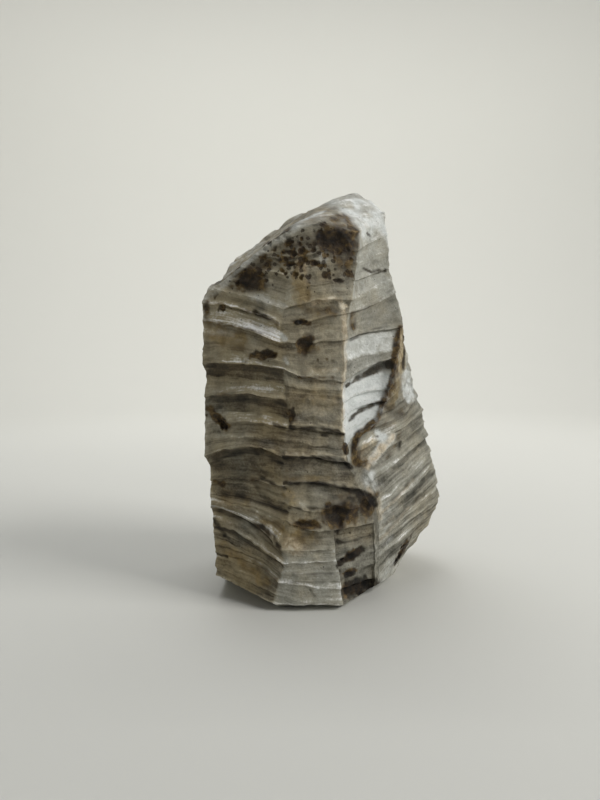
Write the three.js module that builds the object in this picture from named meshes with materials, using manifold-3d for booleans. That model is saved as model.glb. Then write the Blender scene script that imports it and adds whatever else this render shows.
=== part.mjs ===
// A block of raw banded soapstone, about 190 mm tall, standing on its flat base.
// The stone was broken off along its joints. Its flanks are stacks of flutes: every bed ends below in
// a lip that flares out, and the bed under the lip starts set back. The top is a long slope that
// climbs to a rounded crown on the right, and the lower right flank bulges out over the base.
// Millimetres. X runs to the right along the front, Y away from it, Z up. The origin is on the base.

import * as THREE from 'three';
import { mergeVertices } from 'three/addons/utils/BufferGeometryUtils.js';
import Module from 'manifold-3d';

// ---------------------------------------------------------------------------------------------
// Driving dimensions
// ---------------------------------------------------------------------------------------------

// The arrises, where two flanks of the stone meet, each as points [height, x, y] from the bottom up.
// They go round the stone as seen from above: along the front from the left, then round the back.
// The first and last heights lie outside the stone, where the base and the top are cut.
const arrises = {
  leftEdge: [
    [-20, -48.5, -29], [10, -48.6, -30], [31, -49.6, -31], [45, -50.8, -31.5], [60, -51, -32],
    [65, -52.7, -32], [103, -52.4, -32], [106, -53.6, -32], [135, -53.4, -32], [215, -53, -32],
  ],
  frontLeft: [
    [-20, -22, -47.5], [3.5, -22, -47.5], [20, -17, -47], [29, -19, -46.5], [42, -15, -45.5],
    [55, -17.7, -46], [68, -18, -46], [82, -14.7, -44.5], [95, -16.8, -44.5], [121, -18.5, -44],
    [138, -15.5, -43], [159, -14, -42], [215, -13, -40],
  ],
  frontStep: [
    [-20, 9.4, -46.3], [3, 9.4, -46.3], [14, 8, -46], [22, 6.3, -45.5], [31, 5.5, -45],
    [45, 5.3, -44.2], [62, 5, -43], [78, 1.5, -43], [114, 1.5, -43], [130, 3.5, -42.5],
    [160, 6, -40.5], [215, 7, -37],
  ],
  frontRight: [
    [-20, 24.5, -30], [3, 24.5, -30], [17, 24.7, -31], [40, 23.4, -32.5], [50, 17.6, -36],
    [62, 11.8, -40], [78, 9, -41], [114, 9.3, -41], [129, 11.5, -40], [140, 13.6, -39],
    [160, 15.9, -37], [215, 17, -34],
  ],
  rustRidge: [
    [-20, 26.5, -28.5], [3, 26.5, -28.5], [17, 26.8, -29.5], [40, 26, -31], [46, 25.5, -32],
    [54, 22.3, -33.5], [68, 13.7, -38], [75, 16.4, -37.5], [81, 24.4, -33], [92, 30, -27.5],
    [108, 33.6, -24], [126, 37.5, -19], [136, 36.7, -18], [143, 33.8, -18], [151, 31.4, -18],
    [164, 31.3, -18], [174, 28.9, -18], [215, 28, -18],
  ],
  bulge: [
    [-20, 35, -9], [0, 35.2, -9], [8, 40.3, -4.5], [14, 46, -1], [23, 54.5, 4], [35, 61.8, 9],
    [40, 63.3, 9], [49, 60.1, 5], [68, 55.2, -2], [84, 50.9, -7], [95, 46.7, -10], [104, 43, -11],
    [115, 40.1, -8], [133, 38.1, -4], [153, 33.3, -2], [168, 32.5, 0], [215, 30, 2],
  ],
  backRight: [
    [-20, 34, 36], [0, 35, 37], [25, 44, 41], [45, 48, 42], [90, 44, 41], [130, 38, 38],
    [170, 30, 33], [215, 24, 28],
  ],
  backLeft: [
    [-20, -38, 32], [0, -39, 33], [30, -44, 36], [90, -45, 36], [130, -43, 33], [170, -40, 28],
    [215, -38, 24],
  ],
};

// The flanks between those arrises: how many facets wide each is, how far its middle bows out and how
// wide the strips at its start and end are where its relief fades to the next flank's. The bow and the
// strips are shares of the flank's width.
const flanks = [
  { name: 'left', facets: 10, bow: 0.02, fade: [0.15, 0.1] },
  { name: 'front', facets: 9, bow: 0.03, fade: [0.1, 0.01] },
  { name: 'frontCorner', facets: 5, bow: 0.03, fade: [0.01, 0.2] },
  { name: 'scar', facets: 7, bow: -0.12, fade: [0.1, 0.1] },
  { name: 'right', facets: 9, bow: 0.025, fade: [0.1, 0.15] },
  { name: 'backRight', facets: 5, bow: 0.06, fade: [0.15, 0.15] },
  { name: 'back', facets: 6, bow: 0.05, fade: [0.15, 0.15] },
  { name: 'backLeft', facets: 5, bow: 0.03, fade: [0.15, 0.15] },
];

// The bedding lines from the bottom up. at: the line's height on the left edge, the middle of the left
// flank, the front left arris, the middle of the front, the front right arris, the middle of the scar,
// the rust ridge, the middle of the right flank and the bulge. relief: what the line does on the left,
// front, front corner, scar and right flanks. Above 0 it is a lip over a bed set back that far, below 0
// it is the bottom of a hollow flute that deep, and a pair gives the surface above and below the line.
const bedding = [
  { at: [-2.5, -1, 0, -7.5, -14, -14.5, -14, -7, 1.5], relief: [0, 0, 0, 0, 0.7] },
  { at: [8.5, 6, 4.5, -1, -4, -4.5, -3.5, 2.5, 9], relief: [0, 0, -3, 0, 0.8] },
  { at: [14, 11, 8, 4.5, 2.5, 3.5, 3.5, 10.5, 16], relief: [0.9, 0, -5, 0, 0.6] },
  { at: [20.5, 19.5, 12.5, 11, 8, 9, 10, 17.5, 23.5], relief: [1.3, 0.5, [-2.2, -5], 0, 0.8] },
  { at: [27.5, 24, 16.5, 15.5, 15, 17.5, 17.5, 24.5, 30.5], relief: [0.7, 0.3, -2.2, 0, 0.7] },
  { at: [33, 30, 21, 21.5, 21.5, 23, 23.5, 30.5, 37], relief: [1.1, 0.6, -2, 0, 0.9] },
  { at: [41, 38, 26.5, 26.5, 27.5, 29.5, 31, 38, 45.5], relief: [2.6, 0.6, -1.8, 0, 0.7] },
  { at: [46.5, 44, 39, 35.5, 34.5, 37.5, 38.5, 47, 55], relief: [1.5, 0.9, [0, -1.5], 0, 1.1] },
  { at: [50, 50, 46, 43, 43.5, 45, 46, 54.5, 63], relief: [-1.2, 0.5, 0.5, 0, 1.0] },
  { at: [54, 56, 54, 55.5, 51, 52.5, 54, 62, 70.5], relief: [1.3, 1.6, 1.4, 0, 1.3] },
  { at: [60, 62, 61.5, 60.5, 57.5, 59.5, 61, 69.5, 78], relief: [-2.2, -0.9, -0.7, 0, 1.0] },
  { at: [64, 70.5, 67, 66.5, 63, 65.5, 67, 75.5, 84], relief: [1.8, 1.9, 1.6, 0, 0.8] },
  { at: [72, 74.5, 73.5, 72.5, 69.5, 74.5, 77, 83.5, 91], relief: [-1.0, -1.0, -0.8, 0, 0.7] },
  { at: [79.5, 81.5, 79.5, 79, 76.5, 80, 83, 90, 98], relief: [1.0, 1.7, 1.7, 0, 0.6] },
  { at: [86, 86.5, 84, 84.5, 82.5, 87.5, 89.5, 96.5, 103.5], relief: [-2.4, -0.2, 0, 1.0, 0.8] },
  { at: [92, 94, 88, 91, 89.5, 94, 95.5, 102, 109.5], relief: [1.0, 0, 0, -1.6, 0.6] },
  { at: [98, 99, 96, 96.5, 95.5, 101, 102.5, 108.5, 114.5], relief: [-2.6, -0.4, -0.3, -3.2, 0.8] },
  { at: [104, 105.5, 103, 101, 99, 105, 109.5, 114.5, 120], relief: [1.2, 1.1, 0.9, [0.2, -1.2], 0.6] },
  { at: [112.5, 112, 107, 106.5, 107.5, 110.5, 114, 119, 125], relief: [0.6, -0.2, -0.2, [0.7, 0.7], 0.7] },
  { at: [125.5, 122, 115.5, 115.5, 116.5, 121, 124, 128.5, 134], relief: [1.0, 0.6, 0.5, [0, -1.4], 0.5] },
  { at: [133, 130, 123.5, 124.5, 128.5, 132.5, 140, 142, 144], relief: [1.5, 1.2, 0.4, [-0.4, -0.9], 0.7] },
  { at: [139.5, 136, 130, 132.5, 134, 139.5, 145.5, 148.5, 151.5], relief: [0.8, 1.4, 1.0, 0, 0.4] },
  { at: [145.5, 142, 137, 139.5, 142.5, 146, 151, 155, 158.5], relief: [-0.5, 0.5, 0.3, 1.1, 0.6] },
  { at: [152, 148, 143.5, 146.5, 149.5, 154, 158.5, 162, 165.5], relief: [0.6, -0.4, 0, 0, 0.4] },
  { at: [158.5, 154.5, 150.5, 153.5, 155.5, 161, 165.5, 169.5, 173.5], relief: [0.5, 0.6, 0.4, 0.4, 0.5] },
  { at: [165, 161.5, 157, 160, 163.5, 168, 173, 177, 181.5], relief: [0.4, -0.8, -0.6, 0, 0.4] },
  { at: [173, 169, 164.5, 168, 171, 176, 181, 184.5, 189], relief: [0, 0.3, 0.3, 0, 0] },
];

// Around the back the beds lie this much higher than on the arrises that they run back from.
const bedRise = { backRight: 10, backLeft: 12 };

// The relief of the beds around the back repeats every three lines.
const backRelief = [1.6, -0.9, 0.8];

// A bed is hollow by this much more, halfway up, than a straight line from its foot to its head.
const bedSag = [0.35, 0.3, 0.2, 0.7, 0.15, 0.4, 0.4, 0.4];
const bedMiddle = 0.45;
const lipThickness = 0.6;

// The left edge runs nearly straight: it has only this share of the relief beside it.
const leftEdgeRelief = 0.35;

// The rust ridge stands this far out of the scar's rim, between these heights.
const ridge = { height: 1.3, from: 66, to: 128 };

const footHeight = -20;
const headHeight = 212;

// Plane breaks. Each passes through a point and takes off what lies beyond it in its direction.
const breaks = [
  { name: 'base', at: [0, 0, 0], facing: [0, 0, -1] },
  { name: 'underLeftLip', at: [-48.6, -30, 10], facing: [-0.424, -0.348, -0.837] },
  { name: 'underFrontLip', at: [-6, -47.5, 3], facing: [0, -0.45, -0.89] },
  { name: 'underCorner', at: [9.4, -46.3, 2.8], facing: [0.46, -0.34, -0.82] },
  { name: 'longSlope', at: [-54, -32, 135], facing: [-0.628, -0.236, 0.742] },
  { name: 'upperSlope', at: [-8.5, -5, 179.5], facing: [-0.5, -0.29, 0.815] },
  { name: 'crownLeft', at: [-1.3, -7, 182.1], facing: [-0.41, -0.12, 0.905] },
  { name: 'slopeFoot', at: [-53.4, -32, 134.5], facing: [-0.83, -0.1, 0.55] },
  { name: 'crownFront', at: [-15, -43, 163], facing: [-0.137, -0.506, 0.852] },
  { name: 'crownCap', at: [12, -12, 187.6], facing: [-0.06, -0.12, 0.99] },
  { name: 'crownShoulder', at: [21, -15, 184.3], facing: [0.54, -0.05, 0.84] },
  { name: 'crownSide', at: [26, -15, 180], facing: [0.78, -0.08, 0.62] },
  { name: 'crownRim', at: [29.6, -15, 175], facing: [0.93, -0.1, 0.36] },
  { name: 'crownFacet', at: [18, -35, 163.5], facing: [0.3, -0.64, 0.7] },
  { name: 'crownBack', at: [10, 6, 188], facing: [0.05, 0.42, 0.905] },
  { name: 'backSpall', at: [38, 40, 118], facing: [0.5, 0.78, 0.38] },
  { name: 'backLeftSpall', at: [-40, 36, 60], facing: [-0.72, 0.68, -0.12] },
  { name: 'backTopSpall', at: [-20, 32, 160], facing: [-0.1, 0.88, 0.46] },
];

// Hollows where grains and rusty pockets fell out: middle, half sizes and lean in the front view.
const hollows = [
  { name: 'cavity', at: [7.8, -45, 42], half: [7.4, 5, 4.4], lean: -4 },
  { name: 'cavityEnd', at: [19.7, -38, 43.6], half: [4, 5, 4.6], lean: 0 },
  { name: 'rustPit', at: [-7.9, -44.8, 114.9], half: [3.6, 3.2, 3.2], lean: -20 },
  { name: 'frontSlit', at: [-7.4, -47.2, 37.7], half: [6.2, 3.4, 1.8], lean: 4 },
  { name: 'cornerSlot', at: [13.3, -41.5, 21.9], half: [6, 4, 1.7], lean: -18 },
  { name: 'cornerSlotLow', at: [12.5, -42, 14.6], half: [2.8, 3, 1.4], lean: 0 },
  { name: 'crownPocket', at: [6.5, -41.6, 159], half: [7.6, 3.4, 5.8], lean: 8 },
  { name: 'arrisPit', at: [9.9, -42.4, 69.5], half: [1.6, 2.4, 2.3], lean: 0 },
  { name: 'leftLens', at: [-25.9, -42.4, 110.3], half: [7.4, 2.6, 2.6], lean: -6 },
  { name: 'arrisNotch', at: [-13.4, -45.6, 84.7], half: [1.8, 2.6, 2.8], lean: 0 },
  { name: 'leftGash', at: [-46.9, -35, 82.5], half: [6, 3.4, 1.8], lean: 42 },
  { name: 'slopePocket', at: [-31.8, -41.4, 143], half: [5.4, 2.8, 5], lean: 30 },
  { name: 'rightMark', at: [40.2, -14.5, 15.6], half: [6.4, 2.6, 1.5], lean: -55 },
  { name: 'specklePit', at: [1, -43.2, 144.5], half: [1.6, 1.8, 1.4], lean: 0 },
  { name: 'speckleArris', at: [11, -40.8, 144.8], half: [1.9, 2, 1.7], lean: 0 },
];
const breakerSize = 600;
const hollowSides = 10;
const hollowRings = 6;

const stoneColour = 0x8f897b;

// ---------------------------------------------------------------------------------------------
// Reading the dimensions
// ---------------------------------------------------------------------------------------------

const wasm = await Module();
wasm.setup();

const mix = THREE.MathUtils.lerp;

// The point of an arris at a height, straight between its listed points.
function arrisPoint(line, height) {
  const upper = line.findIndex(([z]) => z >= height);
  const [z1, x1, y1] = line[upper];
  const [z0, x0, y0] = line[Math.max(upper - 1, 0)];
  const share = z1 > z0 ? (height - z0) / (z1 - z0) : 0;
  return new THREE.Vector2(mix(x0, x1, share), mix(y0, y1, share));
}

// A smooth curve through the values at the start, middle and end of a flank.
function throughThree(start, middle, end, share) {
  const sag = 4 * (middle - (start + end) / 2);
  return mix(start, end, share) + sag * share * (1 - share);
}

// The heights of a bedding line at the start, middle and end of every flank.
function flankHeights({ at }) {
  const [left, midLeft, frontLeft, midFront, frontRight, midScar, ridgeLine, midRight, bulge] = at;
  const step = mix(midFront, frontRight, 0.55);
  const backRight = bulge + bedRise.backRight;
  const backLeft = left + bedRise.backLeft;
  return [
    [left, midLeft, frontLeft],
    [frontLeft, midFront, step],
    [step, mix(step, frontRight, 0.5), frontRight],
    [frontRight, midScar, ridgeLine],
    [ridgeLine, midRight, bulge],
    [bulge, mix(bulge, backRight, 0.6), backRight],
    [backRight, mix(backRight, backLeft, 0.5) + 3, backLeft],
    [backLeft, mix(backLeft, left, 0.4), left],
  ];
}

// What a line does on every flank, as the surface just above it and just below it.
function flankReliefs({ relief }, index) {
  const behind = backRelief[index % backRelief.length];
  return [...relief, behind, backRelief[(index + 1) % backRelief.length], behind].map((value) => {
    if (Array.isArray(value)) return { above: value[0], below: value[1] };
    return value > 0 ? { above: 0, below: -value } : { above: value, below: value };
  });
}

const lines = bedding.map((line, index) => ({
  heights: flankHeights(line),
  reliefs: flankReliefs(line, index),
}));

// ---------------------------------------------------------------------------------------------
// The flanks
// ---------------------------------------------------------------------------------------------

const arrisLines = Object.values(arrises);

// One column of the surface for every facet edge round the stone.
const columns = flanks.flatMap(({ facets }, flank) =>
  Array.from({ length: facets }, (_, edge) => ({ flank, share: edge / facets })),
);

// How far a column belongs to the flank before or after its own: at an arris the two count the same.
function neighbourOf({ flank, share }) {
  const [start, end] = flanks[flank].fade;
  if (share < start) {
    const before = (flank + flanks.length - 1) % flanks.length;
    return { other: before, weight: 0.5 * (1 - share / start) };
  }
  const after = (flank + 1) % flanks.length;
  return { other: after, weight: Math.max(0, 0.5 * (1 - (1 - share) / end)) };
}

function blended(values, column) {
  const { other, weight } = neighbourOf(column);
  return mix(values[column.flank], values[other], weight);
}

function lineHeight(line, { flank, share }) {
  return throughThree(...line.heights[flank], share);
}

// The outward direction of a flank at a height, square to the line between its two arrises.
function flankNormal(flank, height) {
  const start = arrisPoint(arrisLines[flank], height);
  const end = arrisPoint(arrisLines[(flank + 1) % arrisLines.length], height);
  const along = end.sub(start).normalize();
  return new THREE.Vector2(along.y, -along.x);
}

// The point of the surface in a column at a height, that far out of the plain flank.
function surfacePoint(column, height, relief) {
  const { flank, share } = column;
  const start = arrisPoint(arrisLines[flank], height);
  const end = arrisPoint(arrisLines[(flank + 1) % arrisLines.length], height);
  const { other, weight } = neighbourOf(column);
  const outward = flankNormal(flank, height).lerp(flankNormal(other, height), weight).normalize();
  const bow = 4 * flanks[flank].bow * start.distanceTo(end) * share * (1 - share);
  const point = start.lerp(end, share).addScaledVector(outward, bow + relief);
  return new THREE.Vector3(point.x, point.y, height);
}

// How much of its relief a column keeps beside the left edge.
function edgeFactor({ flank, share }) {
  const fromEdge = { left: share, backLeft: 1 - share }[flanks[flank].name] ?? 1;
  return mix(leftEdgeRelief, 1, Math.min(1, fromEdge / flanks[0].fade[0]));
}

function ridgeRelief({ flank, share }, height) {
  const onRidge = flanks[flank].name === 'right' && share === 0;
  return onRidge && height > ridge.from && height < ridge.to ? ridge.height : 0;
}

// The rows of the surface from the foot up. Each bedding line has a row just under its lip and one on
// the lip, and each bed has one across its middle.
const rows = [() => ({ height: footHeight, relief: 0 })];
lines.forEach((line, index) => {
  const above = (column) => blended(line.reliefs.map((edge) => edge.above), column);
  const below = (column) => blended(line.reliefs.map((edge) => edge.below), column);
  rows.push((column) => ({ height: lineHeight(line, column) - lipThickness, relief: below(column) }));
  rows.push((column) => ({ height: lineHeight(line, column), relief: above(column) }));
  const next = lines[index + 1];
  if (!next) return;
  const head = (column) => blended(next.reliefs.map((edge) => edge.below), column);
  rows.push((column) => ({
    height: mix(lineHeight(line, column), lineHeight(next, column), bedMiddle),
    relief: mix(above(column), head(column), bedMiddle) - blended(bedSag, column),
  }));
});
rows.push(() => ({ height: headHeight, relief: 0 }));

// A capped cylinder with those columns and rows, every vertex moved to its place on the stone.
function flankedBody() {
  const geometry = new THREE.CylinderGeometry(1, 1, 1, columns.length, rows.length - 1);
  const positions = geometry.attributes.position;
  for (let i = 0; i < positions.count; i += 1) {
    const turn = Math.atan2(positions.getX(i), positions.getZ(i)) / (2 * Math.PI);
    const radius = Math.hypot(positions.getX(i), positions.getZ(i));
    const column = columns[(Math.round(turn * columns.length) + columns.length) % columns.length];
    const row = rows[Math.round((positions.getY(i) + 0.5) * (rows.length - 1))];
    const { height, relief } = row(column);
    const raised = relief * edgeFactor(column) + ridgeRelief(column, height);
    const point = surfacePoint(column, height, raised);
    if (radius < 0.5) point.set(0, 0, height);
    positions.setXYZ(i, point.x, point.y, point.z);
  }
  return solid(geometry);
}

// ---------------------------------------------------------------------------------------------
// Breaks and hollows
// ---------------------------------------------------------------------------------------------

function solid(geometry) {
  geometry.deleteAttribute('normal');
  geometry.deleteAttribute('uv');
  const merged = mergeVertices(geometry, 1e-4);
  const mesh = new wasm.Mesh({
    numProp: 3,
    vertProperties: new Float32Array(merged.attributes.position.array),
    triVerts: new Uint32Array(merged.index.array),
  });
  return new wasm.Manifold(mesh);
}

// A block, larger than the stone, that lies beyond a break.
function beyond({ at, facing }) {
  const direction = new THREE.Vector3(...facing).normalize();
  const turn = new THREE.Quaternion().setFromUnitVectors(new THREE.Vector3(0, 0, 1), direction);
  const geometry = new THREE.BoxGeometry(breakerSize, breakerSize, breakerSize);
  geometry.translate(0, 0, breakerSize / 2);
  geometry.applyQuaternion(turn);
  geometry.translate(...at);
  return solid(geometry);
}

function hollowForm({ at, half, lean }) {
  const geometry = new THREE.SphereGeometry(1, hollowSides, hollowRings);
  geometry.scale(...half);
  geometry.rotateY(THREE.MathUtils.degToRad(lean));
  geometry.translate(...at);
  return solid(geometry);
}

let stone = flankedBody();
for (const plane of breaks) {
  stone = stone.subtract(beyond(plane));
}
for (const hollow of hollows) {
  stone = stone.subtract(hollowForm(hollow));
}

// ---------------------------------------------------------------------------------------------
// The part
// ---------------------------------------------------------------------------------------------

const { vertProperties, triVerts } = stone.getMesh();
const stoneGeometry = new THREE.BufferGeometry();
stoneGeometry.setAttribute('position', new THREE.BufferAttribute(vertProperties, 3));
stoneGeometry.setIndex(new THREE.BufferAttribute(triVerts, 1));
stoneGeometry.computeVertexNormals();

const soapstone = new THREE.MeshStandardMaterial({
  color: stoneColour,
  roughness: 0.85,
  metalness: 0,
  flatShading: true,
});

const block = new THREE.Mesh(stoneGeometry, soapstone);
block.name = 'soapstone_block';

const group = new THREE.Group();
group.add(block);

export default group;
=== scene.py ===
import math

import bmesh
import bpy
import numpy as np
from mathutils import Matrix, Vector


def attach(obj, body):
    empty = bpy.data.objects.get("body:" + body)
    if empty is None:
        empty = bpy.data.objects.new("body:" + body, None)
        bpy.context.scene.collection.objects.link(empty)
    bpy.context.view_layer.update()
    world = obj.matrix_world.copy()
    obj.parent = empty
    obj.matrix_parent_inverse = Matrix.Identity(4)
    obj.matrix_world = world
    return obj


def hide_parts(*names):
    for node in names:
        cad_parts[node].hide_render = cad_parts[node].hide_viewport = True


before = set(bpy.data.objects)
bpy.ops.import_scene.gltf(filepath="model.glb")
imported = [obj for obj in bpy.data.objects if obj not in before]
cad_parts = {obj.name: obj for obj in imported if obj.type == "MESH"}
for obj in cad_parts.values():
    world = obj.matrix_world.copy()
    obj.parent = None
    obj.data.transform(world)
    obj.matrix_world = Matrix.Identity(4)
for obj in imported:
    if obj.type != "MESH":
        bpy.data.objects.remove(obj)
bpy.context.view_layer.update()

# =============================================================================================
# The block of raw soapstone
# One natural piece, broken off along its joints and split across its beds. Every bed ends below in
# a lip that flares out, and the bed under it starts set back. The base is broken flat to stand on.
# =============================================================================================

MM = 0.001

# The arrises, where two flanks meet, as points (height, x, y) from the bottom up, in millimetres.
arrises = {
    "left_edge": [
        (-20, -48.5, -29), (10, -48.6, -30), (31, -49.6, -31), (45, -50.8, -31.5), (60, -51, -32),
        (65, -53.4, -32), (90, -53, -32), (103, -52.5, -32), (106, -53.6, -32), (135, -53.4, -32),
        (215, -53, -32),
    ],
    "front_left": [
        (-20, -22, -47.5), (3.5, -22, -47.5), (20, -17, -47), (29, -19, -46.5), (42, -15, -45.5),
        (55, -17.7, -46), (68, -18, -46), (82, -14.7, -44.5), (95, -16.8, -44.5), (121, -18.5, -44),
        (138, -15.5, -43), (159, -14, -42), (215, -13, -40),
    ],
    "front_step": [
        (-20, 9.4, -46.3), (3, 9.4, -46.3), (14, 8, -46), (22, 6.3, -45.5), (31, 5.5, -45),
        (45, 5.3, -44.2), (62, 5, -43), (78, 1.5, -43), (114, 1.5, -43), (130, 3.5, -42.5),
        (160, 6, -40.5), (215, 7, -37),
    ],
    "front_right": [
        (-20, 24.5, -30), (3, 24.5, -30), (17, 24.7, -31), (40, 23.4, -32.5), (50, 17.6, -36),
        (62, 11.8, -40), (78, 9, -41), (114, 9.3, -41), (129, 11.5, -40), (140, 13.6, -39),
        (160, 15.9, -37), (215, 17, -34),
    ],
    "rust_ridge": [
        (-20, 26.5, -28.5), (3, 26.5, -28.5), (17, 26.8, -29.5), (40, 26, -31), (46, 25.5, -32),
        (54, 22.3, -33.5), (68, 13.7, -38), (75, 16.4, -37.5), (81, 24.4, -33), (92, 30, -27.5),
        (108, 33.6, -24), (126, 37.5, -19), (136, 36.7, -18), (143, 33.8, -18), (151, 31.4, -18),
        (164, 31.3, -18), (174, 28.9, -18), (215, 28, -18),
    ],
    "bulge": [
        (-20, 35, -9), (0, 35.2, -9), (8, 41.4, -4.5), (14, 47.4, -1), (23, 56.4, 4), (35, 63.4, 9),
        (40, 63.6, 9), (49, 60.6, 5), (68, 55.2, -2), (84, 50.9, -7), (95, 45.6, -10),
        (104, 43.7, -11), (115, 41.6, -8), (126, 40, -6), (133, 38.6, -4), (153, 33.3, -2),
        (168, 32.5, 0), (215, 30, 2),
    ],
    "back_right": [
        (-20, 34, 36), (0, 35, 37), (25, 44, 41), (45, 48, 42), (90, 44, 41), (130, 38, 38),
        (170, 30, 33), (215, 24, 28),
    ],
    "back_left": [
        (-20, -38, 32), (0, -39, 33), (30, -44, 36), (90, -45, 36), (130, -43, 33), (170, -40, 28),
        (215, -38, 24),
    ],
}

# The flanks between those arrises: how many facets wide, how far the middle bows out and how wide the
# strips are where the relief fades to the next flank's, both as shares of the width, and how deep the
# thin laminae of the flank are, in millimetres.
flanks = {
    "left": dict(facets=52, bow=0.02, fade=(0.15, 0.1), laminae=0.3),
    "front": dict(facets=36, bow=0.03, fade=(0.1, 0.01), laminae=0.22),
    "front_corner": dict(facets=17, bow=0.03, fade=(0.01, 0.2), laminae=0.2),
    "scar": dict(facets=40, bow=-0.12, fade=(0.1, 0.1), laminae=0.1),
    "right": dict(facets=46, bow=0.025, fade=(0.1, 0.15), laminae=0.3),
    "back_right": dict(facets=34, bow=0.06, fade=(0.15, 0.15), laminae=0.4),
    "back": dict(facets=56, bow=0.05, fade=(0.15, 0.15), laminae=0.45),
    "back_left": dict(facets=46, bow=0.03, fade=(0.15, 0.15), laminae=0.4),
}
left, front, front_corner, scar, right, back_right, back, back_left = range(len(flanks))

# The joint between the front and its small corner is sharp below these heights and lost above them:
# the share of a flank's width over which the relief fades there, low down and high up.
joint_fade, joint_heights = (0.01, 0.4), (40, 52)

# The bedding lines from the bottom up: their heights on the left edge, the middle of the left flank,
# the front left arris, the middle of the front, the front right arris, the middle of the scar, the
# rust ridge, the middle of the right flank and the bulge, then what the line does on the left, front,
# front corner, scar and right flanks. Above 0 it is a lip over a bed set back that far, below 0 it is
# the bottom of a hollow flute that deep, and a pair gives the surface above and below the line.
bedding = [
    ((-2.5, -1, 0, -7.5, -14, -14.5, -14, -7, 1.5), (0, 0, 0, 0, 0.7)),
    ((8.5, 6, 4.5, -1, -4, -4.5, -3.5, 2.5, 9), (0, 0, -3, 0, 0.8)),
    ((14, 11, 8, 4.5, 2.5, 3.5, 3.5, 10.5, 16), (0.9, 0, -5, 0, 0.6)),
    ((20.5, 19.5, 12.5, 11, 8, 9, 10, 17.5, 23.5), (1.3, 0.25, (-2.2, -5), 0, 0.8)),
    ((27.5, 24, 16.5, 15.5, 15, 17.5, 17.5, 24.5, 30.5), (0.7, 0.15, -2.2, 0, 0.7)),
    ((33, 30, 21, 21.5, 21.5, 23, 23.5, 30.5, 37), (1.1, 0.3, -2, 0, 0.9)),
    ((41, 38, 26.5, 26.5, 27.5, 29.5, 31, 38, 45.5), (2.6, 0.4, -1.8, 0, 0.7)),
    ((46.5, 44, 39, 35.5, 34.5, 37.5, 38.5, 47, 55), (1.5, 0.9, (0, -1.5), 0, 1.1)),
    ((50, 50, 46, 43, 43.5, 45, 46, 54.5, 63), (-1.2, 0.5, 0.5, 0, 1.0)),
    ((54, 56, 54, 55.5, 51, 52.5, 54, 62, 70.5), (1.3, 1.6, 1.4, 0, 1.3)),
    ((60, 62, 61.5, 60.5, 57.5, 59.5, 61, 69.5, 78), (-2.2, -0.9, -0.7, 0, 1.0)),
    ((64, 70.5, 67, 66.5, 63, 65.5, 67, 75.5, 84), (1.8, 1.9, 1.6, 0, 0.8)),
    ((72, 74.5, 73.5, 72.5, 69.5, 74.5, 77, 83.5, 91), (-1.0, -1.0, -0.8, 0, 0.7)),
    ((79.5, 81.5, 79.5, 79, 76.5, 80, 83, 90, 98), (1.0, 1.7, 1.7, 0, 0.6)),
    ((86, 86.5, 84, 84.5, 82.5, 87.5, 89.5, 96.5, 103.5), (-2.4, -0.2, 0, 1.0, 0.8)),
    ((92, 93.5, 91, 91, 89.5, 94, 95.5, 102, 109.5), (1.0, 0, 0, -1.6, 0.6)),
    ((100.5, 100.5, 98, 96.5, 95.5, 101, 102.5, 108.5, 114.5), (-2.6, -0.4, -0.3, -3.2, 0.8)),
    ((106.5, 106.5, 104.5, 101, 99, 105, 109.5, 114.5, 120), (1.2, 1.1, 0.9, (0.2, -1.2), 0.6)),
    ((112.5, 112, 107, 106.5, 107.5, 110.5, 114, 119, 125), (0.6, -0.2, -0.2, (0.7, 0.7), 0.7)),
    ((125.5, 122, 115.5, 115.5, 116.5, 121, 124, 128.5, 134), (1.0, 0.6, 0.5, (0, -1.4), 0.5)),
    ((133, 130, 123.5, 124.5, 128.5, 132.5, 140, 142, 144), (1.5, 1.2, 0.4, (-0.4, -0.9), 0.7)),
    ((139.5, 136, 130, 132.5, 134, 139.5, 145.5, 148.5, 151.5), (0.8, 1.4, 1.0, 0, 0.4)),
    ((145.5, 142, 137, 139.5, 142.5, 146, 151, 155, 158.5), (-0.5, 0.5, 0.3, 1.1, 0.6)),
    ((152, 148, 143.5, 146.5, 149.5, 154, 158.5, 162, 165.5), (0.6, -0.4, 0, 0, 0.4)),
    ((158.5, 154.5, 150.5, 153.5, 155.5, 161, 165.5, 169.5, 173.5), (0.5, 0.6, 0.4, 0.4, 0.5)),
    ((165, 161.5, 157, 160, 163.5, 168, 173, 177, 181.5), (0.4, -0.8, -0.6, 0, 0.4)),
    ((173, 169, 164.5, 168, 171, 176, 181, 184.5, 189), (0, 0.3, 0.3, 0, 0)),
]

# Behind, the lines rise by this much past the bulge and past the left edge, bow up by the crest in the
# middle of the back, and do these three things in turn.
bed_rise = dict(back_right=10, back_left=12)
back_crest = 3
back_relief = (1.6, -0.9, 0.8)

# Where the front's step lies between the middle of the front and its right arris, as a share.
step_share = 0.55

# How deep each flank's beds sag between their lips, how far under its line a lip starts, how steeply a
# bed leaves a lip, how much of the relief is left on the left edge, and how many rows a lamina takes.
bed_sag = np.array([0.35, 0.3, 0.2, 0.7, 0.15, 0.4, 0.4, 0.4])
lip_thickness = 0.5
lip_flare = 1.2
left_edge_relief = 0.35
lamina_rows = 3

# The rusty ridge: how far it stands out, between which heights, how long it takes to come and go, and
# how far it reaches to both sides.
ridge_height, ridge_from, ridge_to, ridge_ends, ridge_half_width = 1.3, 64, 130, 8, 1.1

# The ends of the rough form, which the breaks cut off, how tall its facets are, and how many rows of
# them a bed has at least.
foot_height, head_height = -20, 212
row_height, least_rows = 1.0, 4

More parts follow.
